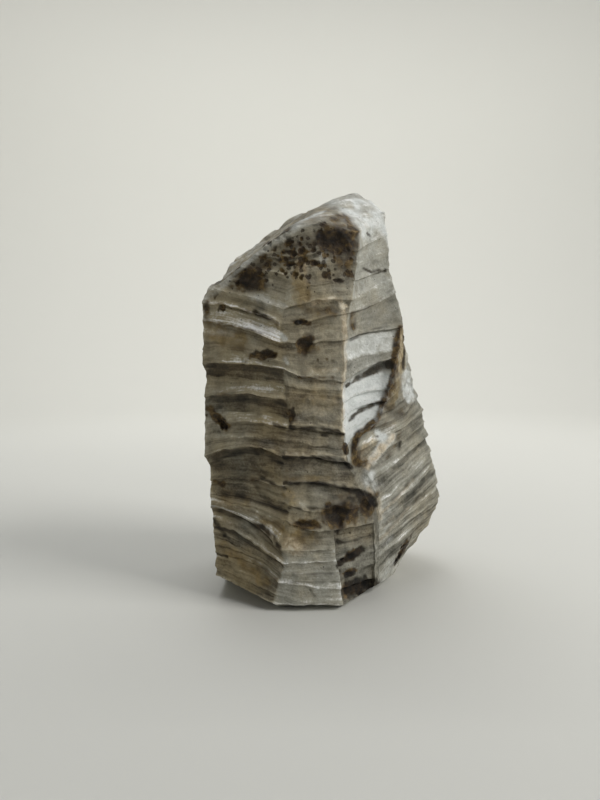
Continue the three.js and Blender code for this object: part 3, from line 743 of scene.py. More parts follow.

# Stains and bruises as brush marks on the front, by what shows: how strong it is, half its width in
# millimetres, and the points (x, z) along it. Many umber marks are dark joints, and many are painted
# shade under lips and in the shells of the scar; a few other marks are painted shade or a painted
# highlight, as noted. They go from the left flank by way of the front, its small corner, the scar
# with the ridge, and the right flank to the slopes.
marks = {
    "beige": [
        (0.7, 5, (-47, 119), (-36, 116)), (0.7, 2, (-26.5, 38.5), (-21, 37), (-18.5, 35)),
        (0.6, 3.4, (-44, 25), (-34, 17), (-26, 12)), (0.5, 3.4, (-44, 47), (-34, 45)),
        (0.9, 3.8, (-9.5, 151), (-10, 146.2), (-10, 140.7), (-8.4, 133.5)),
        (0.35, 5, (-10, 92), (6, 92)), (0.5, 1.6, (-16, 57.5), (2, 57.2)),
        (0.5, 3.6, (-15, 50), (-12, 47)), (0.7, 4.4, (-14, 31), (-6, 31.5)),
        (1, 2.6, (38.5, 121), (38, 106), (35, 95), (31, 87)), (0.5, 3, (18, 66), (23, 71.5)),
    ],
    "chalk_and_highlight": [
        (0.3, 2.2, (-32, 136), (-24, 133.5), (-18, 131)), (0.2, 1.8, (-50, 120.5), (-40, 119.5)),
        # The first mark on the next line, on the front left arris, is a painted highlight where the
        # arris catches the light.
        (0.45, 1.5, (-18.6, 118.7), (-16.5, 117)), (0.6, 0.9, (-34.7, 107.7)),
        (0.5, 1.4, (-16, 108.8), (-15.3, 106.8)), (0.12, 2, (-27, 72.5), (-19, 71)),
        (0.3, 2.4, (-0.5, 150.5), (0.5, 155)), (0.12, 3.2, (-1, 139), (5.5, 138.5)),
        (0.12, 2.6, (-11, 83), (-4, 86), (4, 83)),
        (0.95, 2.2, (22.5, 62.5), (26, 67), (29, 71.5), (27, 75.5)), (0.6, 2, (28.5, 68.5), (33, 72.5)),
        (0.45, 4, (20.5, 56.5), (23, 51)), (0.2, 5, (29.5, 39), (29.5, 22)),
        (0.55, 4.8, (40.5, 100), (42.5, 92)), (0.3, 4.4, (28.5, 5.5), (33.5, 11)),
        (0.5, 1.6, (-13, 167), (-6, 170.5), (1, 174)),
    ],
    "cream": [
        (0.2, 1.6, (-44, 127.5), (-34, 125.5), (-24, 120.5)), (0.2, 2, (-30, 114.5), (-20, 112.5)),
        (0.35, 1.1, (-49.4, 44.6), (-34.4, 41.4), (-22, 38.5), (-19, 36)),
        (0.3, 1.1, (-46, 37), (-36, 33), (-28, 29), (-20.6, 23)), (0.12, 2.4, (-43, 45), (-36, 44)),
        (0.2, 1.1, (-38, 24), (-28, 19.5), (-21, 14)), (0.3, 3, (-10.2, 150), (-8.6, 146.5)),
        (0.55, 1.2, (-4.9, 131.9), (0, 133.2), (4.9, 134.9), (9.6, 131.3)),
        (0.55, 1.5, (7.2, 134), (9.2, 127), (9.6, 117), (9, 104)),
        (0.4, 1.2, (9, 104), (8.6, 82.2), (9.4, 64.8)), (0.35, 1.4, (-6, 103.6), (7, 104)),
        (0.25, 1, (-9, 98.6), (6, 98.2)), (0.3, 0.7, (-14, 81), (-1.4, 80.6), (6, 79.4)),
        (0.3, 0.7, (-16, 68.2), (-1.4, 68), (8.6, 66.4)), (0.7, 3, (-14.5, 29), (-12, 27), (-9.6, 26)),
        (0.4, 0.8, (38.4, 120), (37.4, 110), (36.4, 103)), (0.35, 3.4, (17.5, 66), (22.5, 71.5)),
        (0.75, 2.2, (20.5, 60.8), (24, 64.5), (28, 69)), (0.55, 2, (28, 69), (33, 72.5)),
        (0.5, 1.6, (21, 50.4), (22.6, 48)), (0.4, 1.6, (25.5, 45), (26.5, 36)),
        (0.4, 1, (27, 38), (36, 44), (45, 50)), (0.35, 1.2, (27, 26), (36, 32), (42, 37)),
        (0.3, 0.9, (27, 31), (34, 35)),
    ],
    "ochre": [
        (0.35, 1.6, (-28, 35.6), (-21, 31.8), (-18.6, 27)),
        (0.35, 1, (-36.7, 21.5), (-28.4, 19.3), (-20.3, 13.6)), (0.35, 3.4, (4, 155), (8.5, 152)),
        (0.7, 1.6, (9.8, 9.4), (10.2, 4)), (0.3, 2, (26, 105), (32, 107)),
        (0.6, 1.6, (37, 124), (34.6, 112), (34, 103.7), (32.4, 96.9), (29.5, 92), (27, 85.5)),
        (0.6, 1.5, (27, 85.5), (24.6, 80.6), (19, 76.6), (15.8, 74.8), (14.4, 70)),
        (0.6, 1.7, (15.6, 64.5), (17.6, 62.3)), (0.3, 2.6, (29, 79.5), (34, 78)),
    ],
    "rust_and_shade": [
        (1, 5.8, (-32.5, 143)), (0.6, 3, (-29, 147), (-24, 149)), (0.6, 1.4, (-47.4, 137.6)),
        (0.8, 1.4, (-44.3, 131)), (0.7, 1.6, (-51.2, 134), (-51.4, 127)),
        (0.55, 1, (-33.7, 129.7), (-28, 128.2), (-22.8, 125.6), (-19.8, 123.4)),
        (0.55, 0.9, (-52.1, 125.4), (-46.4, 124.4), (-32.8, 121.5), (-26.3, 119.6)),
        (0.85, 1.7, (-51.7, 86.8), (-46.8, 83.2), (-41.9, 78.6)), (0.4, 1, (-47, 93.5), (-39, 93.5)),
        (0.8, 1.5, (-48.3, 53.4), (-44.6, 52.6)), (0.6, 1, (-31, 55.8), (-28.4, 56.3)),
        (0.85, 3.8, (1.5, 163.5), (7.5, 162), (12.3, 165)), (1, 6.4, (1, 159), (9.5, 158)),
        (0.5, 4, (9, 154), (11, 150)), (0.6, 3.2, (5.5, 153), (7.1, 149.8)),
        (0.65, 2, (-14.2, 165.5), (-16.8, 161.5)), (0.25, 5.5, (-14, 158), (-2, 156)),
        (0.35, 1.6, (-6.2, 142), (-6.4, 133.5), (-7.5, 129.5)),
        (0.5, 2.4, (-6.6, 129.6), (-0.6, 128.9), (4.8, 129)), (0.6, 3, (-8, 114.5), (-5, 113)),
        (0.7, 0.8, (-2.3, 108.1)), (0.7, 0.8, (1.5, 108.5)), (0.7, 0.9, (4.1, 107.7)),
        (0.6, 0.8, (-2.3, 113.2)), (0.4, 2.4, (-9, 110.5), (-8.4, 103)),
        (0.6, 0.8, (-10.4, 100.8), (4, 100.4)), (0.6, 1.8, (-13.5, 86.5), (-13, 83)),
        (0.8, 1.5, (10, 69.5)), (0.35, 3, (-15, 60), (-12, 57)), (0.95, 4.6, (3, 42.5), (10.5, 41)),
        (0.6, 3.6, (17.6, 46.5), (19.8, 43)), (0.9, 1.7, (-12, 37.4), (-2.6, 37.2)),
        (0.3, 3.4, (-8, 32.5), (-4, 31)), (0.5, 1.4, (10, 9.6), (14, 10)),
        # The first mark on the next line, at the foot of the front corner, is painted shade under the
        # corner.
        (0.9, 3.6, (13, 5.6), (17, 5)), (0.6, 2, (13.3, 128), (13.4, 122.5)),
        (0.95, 1.6, (36.6, 123), (34.5, 117), (33.4, 110), (33.2, 103.7), (31.6, 96.9), (28.7, 92.4),
         (26.4, 85.8), (24.3, 81.5), (18.7, 77.3), (15.1, 75.3), (13.6, 70), (13.5, 65.5)),
        (0.5, 2.6, (35, 107), (33, 97), (28.5, 87)), (0.8, 2.6, (14.6, 67), (15.4, 62.8), (18.6, 62)),
        (0.45, 1.2, (37, 75), (36, 70), (30, 63)), (0.3, 4.4, (31.3, 86), (36, 84)),
        (0.65, 4.2, (4.5, 169.4), (10, 170)), (0.3, 3, (-4, 168), (2, 170.5)),
        (0.4, 1.4, (1, 174), (6, 177)),
    ],
    "umber_and_shade": [
        (0.4, 4.6, (-32.5, 142)), (0.5, 1.2, (-30, 129), (-22.8, 125.6)),
        (0.3, 3, (-42, 115), (-34, 113)), (0.5, 1.6, (-29, 110.6), (-26, 110.3), (-22, 109.8)),
        (0.3, 1.6, (-28, 108), (-20, 106.5)), (0.2, 1.6, (-28, 95.5), (-19, 93.5)),
        (0.5, 0.8, (-42, 80.8), (-26, 80.4)), (0.7, 0.9, (-21, 80.4), (-16.5, 79)),
        (0.6, 1.3, (-36.5, 91.8), (-33.6, 92.2)),
        (0.6, 0.9, (-50, 61.5), (-42, 65.5), (-33, 67.5), (-24, 66.5), (-18, 64)),
        (0.7, 1, (-27, 57), (-21.6, 55), (-16.6, 53.2)), (0.18, 2.2, (-27, 82), (-19, 80.5)),
        (0.25, 5, (-25, 54), (-22, 42), (-21, 31)), (0.4, 1.4, (-29.7, 53.6), (-23, 45.7), (-16, 40.3)),
        (0.42, 1.8, (-49.4, 41.5), (-40, 38.4), (-30, 35.5), (-23, 31.5), (-18.6, 25)),
        (0.75, 1.3, (-31, 36.6), (-26, 35.4), (-21.5, 32), (-19, 28.4)),
        (0.7, 1.5, (-49.6, 35.6), (-43.9, 29.4)),
        (0.4, 1.3, (-44, 32), (-36, 28.6), (-28.4, 25.7), (-21, 20.5)),
        (0.35, 1.1, (-42, 27), (-34, 22.6), (-26, 18), (-20.4, 13.6)),
        (0.6, 0.9, (-49.6, 20), (-43.1, 19.5)), (0.3, 1.2, (-42, 16), (-34.4, 11.4), (-24, 6.8)),
        (0.5, 5, (0, 160), (8, 160)), (0.2, 5, (-14, 158), (4, 157)),
        (0.8, 0.9, (-11.4, 124), (-7.2, 124.4)), (0.4, 0.8, (2.6, 115.6), (8.6, 115.4)),
        (0.25, 0.7, (-10.4, 100.6), (-0.6, 100.4), (8.2, 100.2)),
        (0.85, 1, (-14, 79.4), (-1.4, 78.8), (6, 77.4), (8.8, 76)), (0.7, 0.9, (-0.4, 75.8), (2, 75.8)),
        (0.85, 1, (-17, 66.4), (-1.4, 66.2), (8.6, 64.6), (12.9, 60.7)),
        (0.75, 1.1, (-16.5, 55.6), (-1.4, 55.2), (9, 52.6), (14.4, 50.2)),
        (0.6, 0.9, (-14.5, 44.4), (2, 44.6)), (0.8, 2.4, (5, 43.5), (10.5, 42)),
        (0.7, 2.4, (10, 45.5), (16, 46.5), (20, 44)), (0.75, 3, (16, 46.5), (20.8, 43)),
        (0.85, 1.8, (9, 52.4), (15, 50.2), (21, 47), (24.4, 43)), (0.3, 0.7, (-12, 25.6), (8, 25.8)),
        (0.4, 0.8, (-13, 16.4), (8, 16.2)), (0.35, 0.7, (-15, 12.8), (8, 12.6)),
        (0.6, 0.6, (-5.6, 9.6), (-4.4, 7.7), (-3.2, 6.4)), (0.9, 1.1, (6.5, 34), (6.7, 33)),
        (0.9, 1.1, (7, 29.1)), (0.6, 0.8, (7, 28.3), (14, 28), (22, 28.6)), (0.8, 0.7, (12.1, 32)),
        (1, 1.3, (6.6, 19.4), (12, 21)), (1, 1.8, (12, 21), (18, 23.2)),
        # The last mark on the next line, at the foot of the front corner, is painted shade under the
        # corner.
        (0.85, 1.3, (10.6, 13.7), (14.4, 13.8)), (1, 4.8, (12.6, 7), (16, 6), (23, 4.5)),
        (0.4, 0.9, (24.2, 38), (25, 26)), (0.7, 0.9, (18.4, 149.2), (22.8, 148.3), (26.4, 149)),
        (0.8, 1.1, (24, 149), (29.4, 150)), (0.6, 0.8, (20.6, 165), (21.6, 164.6)),
        (0.6, 0.7, (24.8, 166.4)), (0.35, 0.9, (14.2, 129.2), (24.3, 134.3), (32.9, 140.9)),
        (0.12, 5, (24, 128), (33, 134)), (0.45, 1, (12, 117), (21.7, 121.4), (30, 124.4)),
        (0.95, 0.9, (10.4, 96.8), (16.7, 100.3)), (1, 1.4, (15.5, 99.8), (22.9, 103)),
        (1, 2.4, (23.4, 103.6), (27, 105.2), (31, 106)), (0.95, 0.8, (11.6, 81.6), (16.4, 85.4)),
        (1, 1.1, (16.4, 85.4), (20.6, 87), (27, 89.4)),
        (0.2, 1.5, (33.2, 103.7), (31.6, 96.9), (28.7, 92.4), (26.4, 85.8), (20, 78.5), (15, 75)),
        (0.75, 1, (40.6, 121), (40.2, 112), (38.6, 104)), (0.25, 2.2, (28, 80), (31, 80)),
        (0.8, 0.9, (25.8, 73.9)), (0.6, 1.3, (37.4, 69.4), (36.6, 66)),
        (0.2, 1.6, (24, 60), (32, 64.5)), (0.4, 3.6, (30.3, 85), (34.5, 84)),
        (0.45, 1.2, (32.8, 43.3), (45, 51), (55.8, 57.4)), (0.5, 1.3, (40, 39), (50, 45), (59.1, 51)),
        (0.4, 1, (34, 58), (43, 64), (51, 68)), (0.35, 1, (30, 29), (41, 36), (52, 43)),
        (0.5, 1.2, (35.6, 10.6), (39, 14.1), (43, 19)), (0.5, 3.4, (-13, 171.5), (-5, 177), (3, 182)),
    ],
}

# A mark's edge is ragged, less so on the smooth scar, and fades between these shares of its half width.
# Its strength is uneven. It shows on what faces the front, and on the cap only near its front rim.
mark_edge, edge_lumps, scar_edge = (1.45, 0.25), [(3.2, 0.22), (1.3, 0.16)], 0.4
mark_strength, strength_lumps = 0.85, [(2.2, 0.3)]
front_facing = (0.25, -0.05)
cap_front = (-14, -26)
ragged_edge = lumps(skin, edge_lumps, 71)
ragged_edge = np.where(flank == scar, scar_edge * ragged_edge, ragged_edge)
uneven = mark_strength + lumps(skin, strength_lumps, 73)
in_front = smooth_step(*front_facing, normals[:, 1])
in_front = in_front * np.where(cap, smooth_step(*cap_front, skin[:, 1]), 1)


def painted(pigment):
    """How strongly the marks of a pigment show at every vertex, from 0 to 1."""
    total = np.zeros(len(skin))
    plane = skin[:, (0, 2)]
    for strength, half, *path in marks[pigment]:
        away = np.full(len(skin), np.inf)
        for start, end in zip(path, path[1:] or path):
            start, span = np.array(start), np.array(end) - np.array(start)
            along = np.clip(((plane - start) @ span) / max(span @ span, 0.01), 0, 1)
            away = np.minimum(away, np.linalg.norm(plane - start - along[:, None] * span, axis=1))
        total = np.maximum(total, strength * smooth_step(*mark_edge, away / half + ragged_edge))
    return np.clip(total * uneven, 0, 1) * in_front


def bed_values(table):
    """A table of beds on some flanks as an array of every bed on every flank."""
    values = np.zeros((len(flanks), len(bedding)))
    for number, beds in table.items():
        values[number, :len(beds)] = beds
    return values


def by_bed(values):
    """A value of each bed on each flank at every point, running into the next bed's at its lip."""
    mixed = mix(values[flank], values[other], other_weight[:, None])
    total = mixed[:, 0]
    for line in range(1, len(bedding)):
        past = smooth_step(*line_softness, skin[:, 2] - lines[line])
        total = total + (mixed[:, line] - mixed[:, line - 1]) * past
    return total


def neighbour_mean(values):
    """The mean of a value, or of a place, over the vertices joined to each one."""
    total = np.zeros_like(values)
    np.add.at(total, edge_ends[:, 0], values[edge_ends[:, 1]])
    np.add.at(total, edge_ends[:, 1], values[edge_ends[:, 0]])
    return total / joined.reshape(-1, *[1] * (values.ndim - 1))


# Convex edges are bruised pale and hollows are darkened with painted shade: how far each vertex stands
# out of the mean of so many rings of vertices round it, in millimetres.
rings = 6
edge_ends = np.array([[vertex.index for vertex in edge.verts] for edge in stone.edges])
joined = np.bincount(edge_ends.ravel(), minlength=len(skin)).astype(float)
round_about = moved
for _ in range(rings):
    round_about = neighbour_mean(round_about)
proud = ((moved - round_about) * normals).sum(axis=1)
proud = neighbour_mean(proud)

# On the front the colours of two flanks end at the arris, and behind they run into each other.
other, other_weight = neighbour_of(flank, share, skin[:, 2])
crisp = np.isin(flank, crisp_flanks) & np.isin(other, crisp_flanks)
other_weight = np.where(crisp, 0.5 * smooth_step(0.3, 0.5, other_weight) ** 2, other_weight)

# The borders of what is rubbed, chalky or seeped wander by these lumps, in millimetres.
wander_lumps = [(9, 3.5), (3.5, 1.5)]
wander = lumps(skin, wander_lumps, 89)

# The rim where the slopes meet the flanks is painted pale, as rubbed wear and as a painted highlight
# where the edge catches the light, down to a few millimetres below the slopes.
rim_band = (-3.8, -1.4)
below_slopes = np.max([
    (skin - at) @ Vector(facing).normalized() for name, at, facing in breaks if name in rubbed_and_lit_rims
], axis=0)
rim = smooth_step(*rim_band, below_slopes + 0.2 * wander) * (1 - cap)
rubbed_and_lit_rim = 0.8 * rim

# How pale the stone is: each bed's tone, paler at its foot, where it flares out to its lip, as a painted
# highlight, and darker at its head under the lip above, as painted shade, with clouds over it. The cap
# has a tone of its own, and what stands out is paler than what lies back, where painted shade darkens
# the hollows.
foot_light, lip_shade = 0.15, 0.2
tone_clouds, flat_clouds, flattened = [(13, 0.22)], [(4, 0.14)], (0.5, 0.5, 1.5)
cap_clouds = [(12, 0.2)]
cap_tone, rim_highlight_tone = 0.3, 0.35
bruise_and_shade_gain, deepest_hollow_shade, most_bruise = 0.9, -0.5, 0.35
tones = bed_values(bed_tones)
for number, stride in back_strides.items():
    tones[number] = [back_tones[i * stride % len(back_tones)] for i in range(len(bedding))]
tone = by_bed(tones)
tone += foot_light * (1 - up_bed) - lip_shade * smooth_step(0.7, 1.0, up_bed)
tone += lumps(skin, tone_clouds, 81) + lumps(skin * flattened, flat_clouds, 83)
tone = np.where(cap, cap_tone + lumps(skin, cap_clouds, 82), tone)
tone = mix(tone, rim_highlight_tone, rubbed_and_lit_rim)
tone += np.clip(proud * bruise_and_shade_gain, deepest_hollow_shade, most_bruise)

# Where it is chalky: some beds of the scar, less towards each bed's head, as painted shade under the lip
# above, the rim, where the pale is partly a painted highlight, the ledges of the slopes, and most of all
# the right of the crown, less so at its very top and towards the back.
crown_chalk = smooth_step(8, 15, skin[:, 0] + wander) * smooth_step(159, 171, skin[:, 2] + wander)
crown_chalk *= 1 - 0.6 * smooth_step(181, 188, skin[:, 2] + wander)
crown_chalk *= 1 - 0.6 * smooth_step(0, 30, skin[:, 1] + 2 * wander)
chalk_and_highlight = by_bed(bed_values(chalk_beds)) * smooth_step(1.15, 0.8, up_bed)
chalk_and_highlight = np.maximum(chalk_and_highlight, 0.3 * rim)
chalk_and_highlight = np.where(cap, 0.16 + 0.14 * lattice_noise(skin, 6, 84) + 0.3 * ledge, chalk_and_highlight)
chalk_and_highlight = np.maximum(chalk_and_highlight, crown_chalk * (0.5 + 0.25 * lattice_noise(skin, 5, 85)))

# Dirt lies mottled on the slopes, and painted shade along the risers of their ledges, but not on the
# chalky crown.
mottle_lumps = [(5, 1), (2, 0.8)]
mottled = lumps(skin, mottle_lumps, 91)
slope_dirt_and_shade = np.maximum(ledge_riser_shade, 0.7 * smooth_step(0.2, 1.8, mottled)) * cap * (1 - crown_chalk)

# The foot of the front is grey. The layers show less high on the right flank, and more low on the left.
brown = mix(browns[flank], browns[other], other_weight) + 0.25 * lattice_noise(skin, 17, 86)
brown *= 1 - 0.8 * smooth_step(30, 20, skin[:, 2]) * np.isin(flank, (front, front_corner))
layering = mix(layerings[flank], layerings[other], other_weight)
on_right = np.where(flank == right, 1 - other_weight, np.where(other == right, other_weight, 0))
layering *= 1 - 0.6 * smooth_step(70, 85, skin[:, 2]) * on_right
layering += 0.45 * smooth_step(54, 44, skin[:, 2]) * (flank == left)

# Behind, iron has seeped out in flat patches, and bruises lie scattered.
behind = smooth_step(-0.1, 0.3, normals[:, 1])
wandering = skin + wander[:, None]
seeped = behind * smooth_step(0.35, 1.1, lattice_noise(wandering * (0.5, 0.5, 1.4), 11, 87))
bruised = behind * smooth_step(0.25, 1.2, lattice_noise(wandering, 15, 88))

# The zone of small rusty grains lies on the front under the crown, left of the scar.
pitted = smooth_step(134, 146, skin[:, 2]) * smooth_step(0.1, -0.2, normals[:, 1])
pitted = pitted * smooth_step(15, 9, skin[:, 0]) * (1 - 0.8 * cap) * (1 - rim)

# What the material reads at every vertex.
fields = {
    "tone": np.clip(tone, -1.2, 1.2),
    "brown": np.clip(brown, 0, 1),
    "layering": np.clip(np.where(cap, cap_layering, layering), 0, 1.4),
    "beige": painted("beige"),
    "chalk_and_highlight": np.maximum.reduce([chalk_and_highlight, painted("chalk_and_highlight"), 0.35 * bruised]),
    "cream": painted("cream"),
    "umber_and_shade": np.maximum.reduce([painted("umber_and_shade"), 0.42 * slope_dirt_and_shade, 0.5 * pit_shade]) * (1 - rubbed_and_lit_rim),
    "ochre": painted("ochre"),
    "rust_and_shade": np.maximum.reduce([painted("rust_and_shade"), 0.7 * bled, 0.55 * seeped]) * (1 - rubbed_and_lit_rim),
    "pitted": pitted,
}

# The layers' own height, which runs level along each bed and follows the beds' tilt across the slopes.
mean_lines = line_heights.mean(axis=(1, 2))
bed_height = mix(mean_lines[bed], mean_lines[bed + 1], up_bed) + np.minimum(0, skin[:, 2] - lines[0])
bed_height = np.where(cap, tilted, bed_height)


def put_in_scene(name, data):
    """Makes an object of a mesh, a light or a camera and adds it to the scene."""
    made = bpy.data.objects.new(name, data)
    bpy.context.scene.collection.objects.link(made)
    return made


sharp_angle = 38
bmesh.ops.triangulate(stone, faces=[face for face in stone.faces if len(face.verts) > 4])
stone.transform(Matrix.Scale(MM, 4))
stone.normal_update()
mesh = bpy.data.meshes.new("rough_soapstone")
stone.to_mesh(mesh)
stone.free()
for name, values in fields.items():
    mesh.attributes.new(name, "FLOAT", "POINT").data.foreach_set("value", values.astype(np.float32))
along_beds = np.column_stack([skin[:, :2], bed_height]) * MM
mesh.attributes.new("bedding", "FLOAT_VECTOR", "POINT").data.foreach_set(
    "vector", along_beds.astype(np.float32).ravel(),
)
block = put_in_scene("rough_soapstone", mesh)
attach(block, "root")
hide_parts("soapstone_block")
mesh.shade_smooth()
mesh.set_sharp_from_angle(angle=math.radians(sharp_angle))


def colour(hex_value):
    """A colour written as sRGB hex, as the linear values that a shader takes."""
    channels = [int(hex_value[i:i + 2], 16) / 255 for i in (1, 3, 5)]
    return tuple(c / 12.92 if c <= 0.04045 else ((c + 0.055) / 1.055) ** 2.4 for c in channels) + (1,)


def every(mm):
    """The scale of a pattern in a material whose features lie that many millimetres apart."""
    return 1 / (mm * MM)


def add(kind, inputs=(), output=0, stops=(), **settings):
    """Adds a node to the stone's material and returns one of its outputs.

    An input is a value, or a socket to link. Stops are places and colours along a colour ramp.
    """
    made = tree.nodes.new(kind)
    for setting, value in settings.items():
        setattr(made, setting, value)
    for key, value in dict(inputs).items():
        if isinstance(value, bpy.types.NodeSocket):
            tree.links.new(value, made.inputs[key])
        else:
            made.inputs[key].default_value = value
    for number, (position, hex_value) in enumerate(stops):
        stop = made.color_ramp.elements[0] if number == 0 else made.color_ramp.elements.new(position)
        stop.position, stop.color = position, colour(hex_value)
    if stops:
        made.color_ramp.elements.remove(made.color_ramp.elements[-1])
    return made.outputs[output]


def calculate(operation, *values, **settings):
    """Does a sum with values or sockets."""
    return add("ShaderNodeMath", dict(enumerate(values)), operation=operation, **settings)


def with_patterns(value, *patterns, **settings):
    """A value with patterns added to it, each times its strength."""
    for pattern, strength in patterns:
        value = calculate("MULTIPLY_ADD", pattern, strength, value, **settings)
    return value


def noise(at, size, detail, roughness, distortion=0.0):
    """A pattern between 0 and 1, of soft lumps that lie that many millimetres apart."""
    return add("ShaderNodeTexNoise", {
        "Vector": at, "Scale": every(size), "Detail": detail, "Roughness": roughness,
        "Distortion": distortion,
    })


def eased(value, full, most):
    """Runs from 0 to most, and level at both ends, while a value runs from 0 to full."""
    ends = {"Value": value, "From Max": full, "To Max": most}
    return add("ShaderNodeMapRange", ends, interpolation_type="SMOOTHSTEP")


def laid_over(under, over, share, kind="MIX"):
    """A colour with another one over it, as far as the share says."""
    inputs = {"Factor": share, 6: under, 7: over}
    return add("ShaderNodeMix", inputs, output=2, data_type="RGBA", blend_type=kind)


# Raw soapstone, broken and not dressed: talc with grey and brown layers. Fresh breaks are dull and
# chalky, iron has bled brown out of the joints, and the layers show as streaks along the beds.
raw_stone = bpy.data.materials.new("soapstone, raw broken face")
raw_stone.use_nodes = True
tree = raw_stone.node_tree
shader = tree.nodes["Principled BSDF"]
place = add("ShaderNodeTexCoord", output="Object")
field = {name: add("ShaderNodeAttribute", output="Fac", attribute_name=name) for name in fields}
along_bed = add("ShaderNodeAttribute", output="Vector", attribute_name="bedding")


def drawn_out(share):
    """Places in the beds, squeezed to that share along them, so that a pattern runs far there."""
    return add("ShaderNodeMapping", {"Vector": along_bed, "Scale": (share, share, 1)})


# The patterns: layers a few millimetres thick that run far along the beds, thin laminae, clouds,
# blotches and grit.
layers = noise(drawn_out(0.06), 3.0, 3, 0.6, 0.3)
laminae = noise(drawn_out(0.16), 1.1, 2, 0.5)
clouds = noise(place, 11, 4, 0.6)
blotches = noise(place, 3.6, 4, 0.65, 0.4)
grit = noise(place, 1.0, 3, 0.7)

# How pale the stone is: its tone, with the layers as clear as they show there, and the other patterns.
layered = calculate("MULTIPLY", calculate("SUBTRACT", layers, 0.5), field["layering"])
shade = with_patterns(
    -0.18, (field["tone"], 0.28), (layered, 1.2), (laminae, 0.36), (clouds, 0.28), (blotches, 0.32),
    (grit, 0.4),
)
grey = add("ShaderNodeValToRGB", {"Fac": shade}, stops=[
    (0.0, "#26251f"), (0.25, "#56544b"), (0.5, "#87857a"), (0.75, "#a9a89e"), (1.0, "#ffffff"),
])
earthy = add("ShaderNodeValToRGB", {"Fac": shade}, stops=[
    (0.0, "#272016"), (0.25, "#574b37"), (0.5, "#8b7e62"), (0.75, "#aa9d7e"), (1.0, "#ffffff"),
])
brownness = calculate("ADD", with_patterns(-0.65, (clouds, 1.3)), field["brown"], use_clamp=True)
skin_colour = laid_over(grey, earthy, brownness)

# What lies on the stone or has soaked into it, from the bottom up: a tan tint, chalky bruises with
# painted highlights on the rims, a pale cream crust, ochre, rust with painted shade at the foot of the
# front corner, and umber, which is dirt in the joints and on the slopes together with painted shade
# under lips, along the risers of the ledges and in the hollows. Each is broken up by the blotches and
# the grit.
stains = [
    ("beige", 0.8, "MULTIPLY", [(0.35, "#c8b083"), (0.65, "#f0dfb8")]),
    ("chalk_and_highlight", 0.95, "MIX", [(0.3, "#c8cccb"), (0.5, "#d9dddc"), (0.7, "#e9ebea")]),
    ("cream", 0.9, "MIX", [(0.35, "#93836a"), (0.5, "#bdad92"), (0.65, "#dfd6c2")]),
    ("ochre", 0.85, "MIX", [(0.35, "#3a2b18"), (0.5, "#5d4628"), (0.65, "#8d7148")]),
    ("rust_and_shade", 0.95, "MIX", [(0.34, "#191008"), (0.46, "#332413"), (0.56, "#52401f"), (0.7, "#7c6741")]),
    ("umber_and_shade", 0.95, "MULTIPLY", [(0.35, "#2b2418"), (0.65, "#5c5240")]),
]
ragged = with_patterns(0.05, (blotches, 1.5), (grit, 1.1))
for name, most, kind, stops in stains:
    spread = eased(calculate("MULTIPLY", field[name], ragged), 1, most)
    stain_colour = add("ShaderNodeValToRGB", {"Fac": blotches}, stops=stops)
    skin_colour = laid_over(skin_colour, stain_colour, spread, kind)

# Specks of rusty grains, about a millimetre across, thick in the pitted zone and thin elsewhere.
speck_away = add("ShaderNodeTexVoronoi", {"Vector": place, "Scale": every(2.8), "Randomness": 1.0})
speck_size = with_patterns(-0.42, (field["pitted"], 0.32), (blotches, 0.5), (grit, 0.5))
speck_share = eased(calculate("SUBTRACT", speck_size, speck_away), 0.1, 0.8)
skin_colour = laid_over(skin_colour, colour("#2a2013"), speck_share)
tree.links.new(skin_colour, shader.inputs["Base Color"])

# A fresh break is matt, and a little less so between the grains.
tree.links.new(with_patterns(0.64, (grit, 0.25), use_clamp=True), shader.inputs["Roughness"])
shader.inputs["IOR"].default_value = 1.5
shader.inputs["Specular IOR Level"].default_value = 0.35

# Fine relief: the layers and laminae as low steps, rough grit between them, and the specks sunk in.
relief = with_patterns(layered, (laminae, 0.35), (blotches, 0.5), (grit, 0.6), (speck_share, -0.9))
bump = add("ShaderNodeBump", {"Height": relief, "Strength": 0.7, "Distance": 0.0006})
tree.links.new(bump, shader.inputs["Normal"])
mesh.materials.append(raw_stone)

# =============================================================================================
# Floor
# A plain pale sheet under the stone that curves up all round into a wall, like a wide bowl.
# =============================================================================================

bowl_radius, bowl_curve, bowl_height = 1.9, 0.9, 2.6
curve_steps, bowl_sides = 12, 64
bowl = bmesh.new()
profile = [bowl.verts.new((0, 0, 0)), bowl.verts.new((0, bowl_radius - bowl_curve, 0))]
for step in range(1, curve_steps + 1):
    angle = math.radians(90 * step / curve_steps)
    out, up = bowl_curve * math.sin(angle), bowl_curve * (1 - math.cos(angle))
    profile.append(bowl.verts.new((0, bowl_radius - bowl_curve + out, up)))
profile.append(bowl.verts.new((0, bowl_radius, bowl_height)))
edges = [bowl.edges.new(pair) for pair in zip(profile, profile[1:])]
bmesh.ops.spin(
    bowl, geom=[*profile, *edges], cent=(0, 0, 0), axis=(0, 0, 1), angle=2 * math.pi,
    steps=bowl_sides, use_merge=True, use_duplicate=False,
)
bmesh.ops.remove_doubles(bowl, verts=bowl.verts, dist=0.1 * MM)
bmesh.ops.recalc_face_normals(bowl, faces=bowl.faces)
floor_mesh = bpy.data.meshes.new("floor")
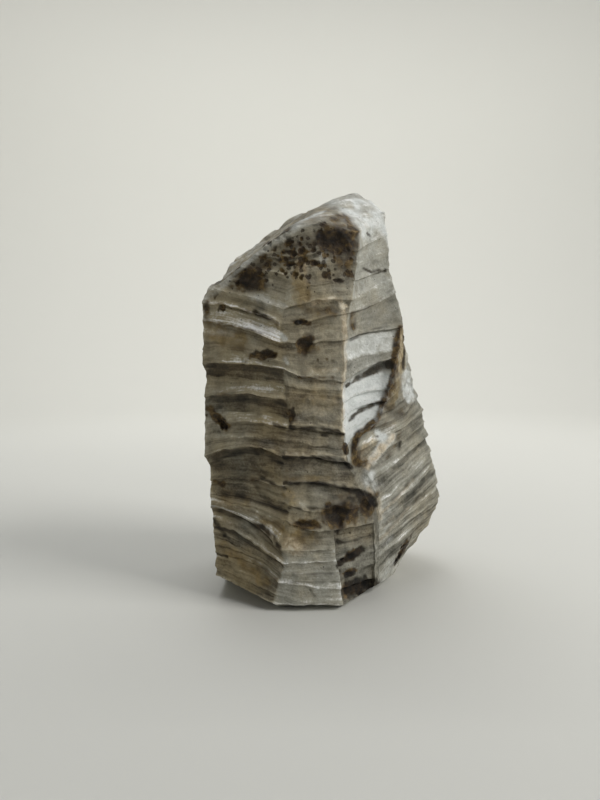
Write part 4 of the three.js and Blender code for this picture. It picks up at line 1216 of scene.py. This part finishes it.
bowl.to_mesh(floor_mesh)
bowl.free()
floor_mesh.shade_smooth()
floor = put_in_scene("floor", floor_mesh)
paper = bpy.data.materials.new("matt pale paper")
paper.use_nodes = True
paper_shader = paper.node_tree.nodes["Principled BSDF"]
paper_shader.inputs["Base Color"].default_value = colour("#cdcdc8")
paper_shader.inputs["Roughness"].default_value = 0.9
floor_mesh.materials.append(paper)

# =============================================================================================
# Light and camera
# Soft daylight from a window high on the right, a pale room all round, and a camera before the
# stone, a little above the middle of its height.
# =============================================================================================

world = bpy.data.worlds.new("pale room")
world.use_nodes = True
room = world.node_tree.nodes["Background"]
room.inputs["Color"].default_value = (0.9, 0.92, 1.0, 1)
room.inputs["Strength"].default_value = 0.14
bpy.context.scene.world = world

# Each window: its place and what it points at, in metres, how wide and high it is, its power in watts
# and its tint.
stone_middle = (0, 0, 0.09)
windows = [
    ("window", (0.85, -0.35, 0.75), stone_middle, (0.5, 0.5), 8.3, (1.0, 0.985, 0.955)),
    ("skylight", (-0.2, 0.2, 1.3), stone_middle, (0.7, 0.7), 4.5, (0.95, 0.97, 1.0)),
    ("far window", (-0.9, -0.9, 0.6), stone_middle, (0.8, 0.8), 0.7, (0.96, 0.98, 1.0)),
    ("wall light", (0, 0.55, 1.3), (0, 1.7, 0.5), (1.2, 0.4), 18, (1.0, 0.99, 0.96)),
]
for name, at, towards, size, power, tint in windows:
    light = bpy.data.lights.new(name, "AREA")
    light.shape = "RECTANGLE"
    light.size, light.size_y = size
    light.energy = power
    light.color = tint
    lamp = put_in_scene(name, light)
    lamp.location = at
    lamp.rotation_euler = (Vector(towards) - Vector(at)).to_track_quat("-Z", "Y").to_euler()

camera_data = bpy.data.cameras.new("camera")
camera_data.lens = 26.0
camera_data.sensor_width = 36
looks_down = 3.47
camera = put_in_scene("camera", camera_data)
camera.location = (-0.010, -0.290, 0.106)
camera.rotation_euler = (math.radians(90 - looks_down), 0, 0)
bpy.context.scene.camera = camera
bpy.context.scene.view_settings.view_transform = "Standard"
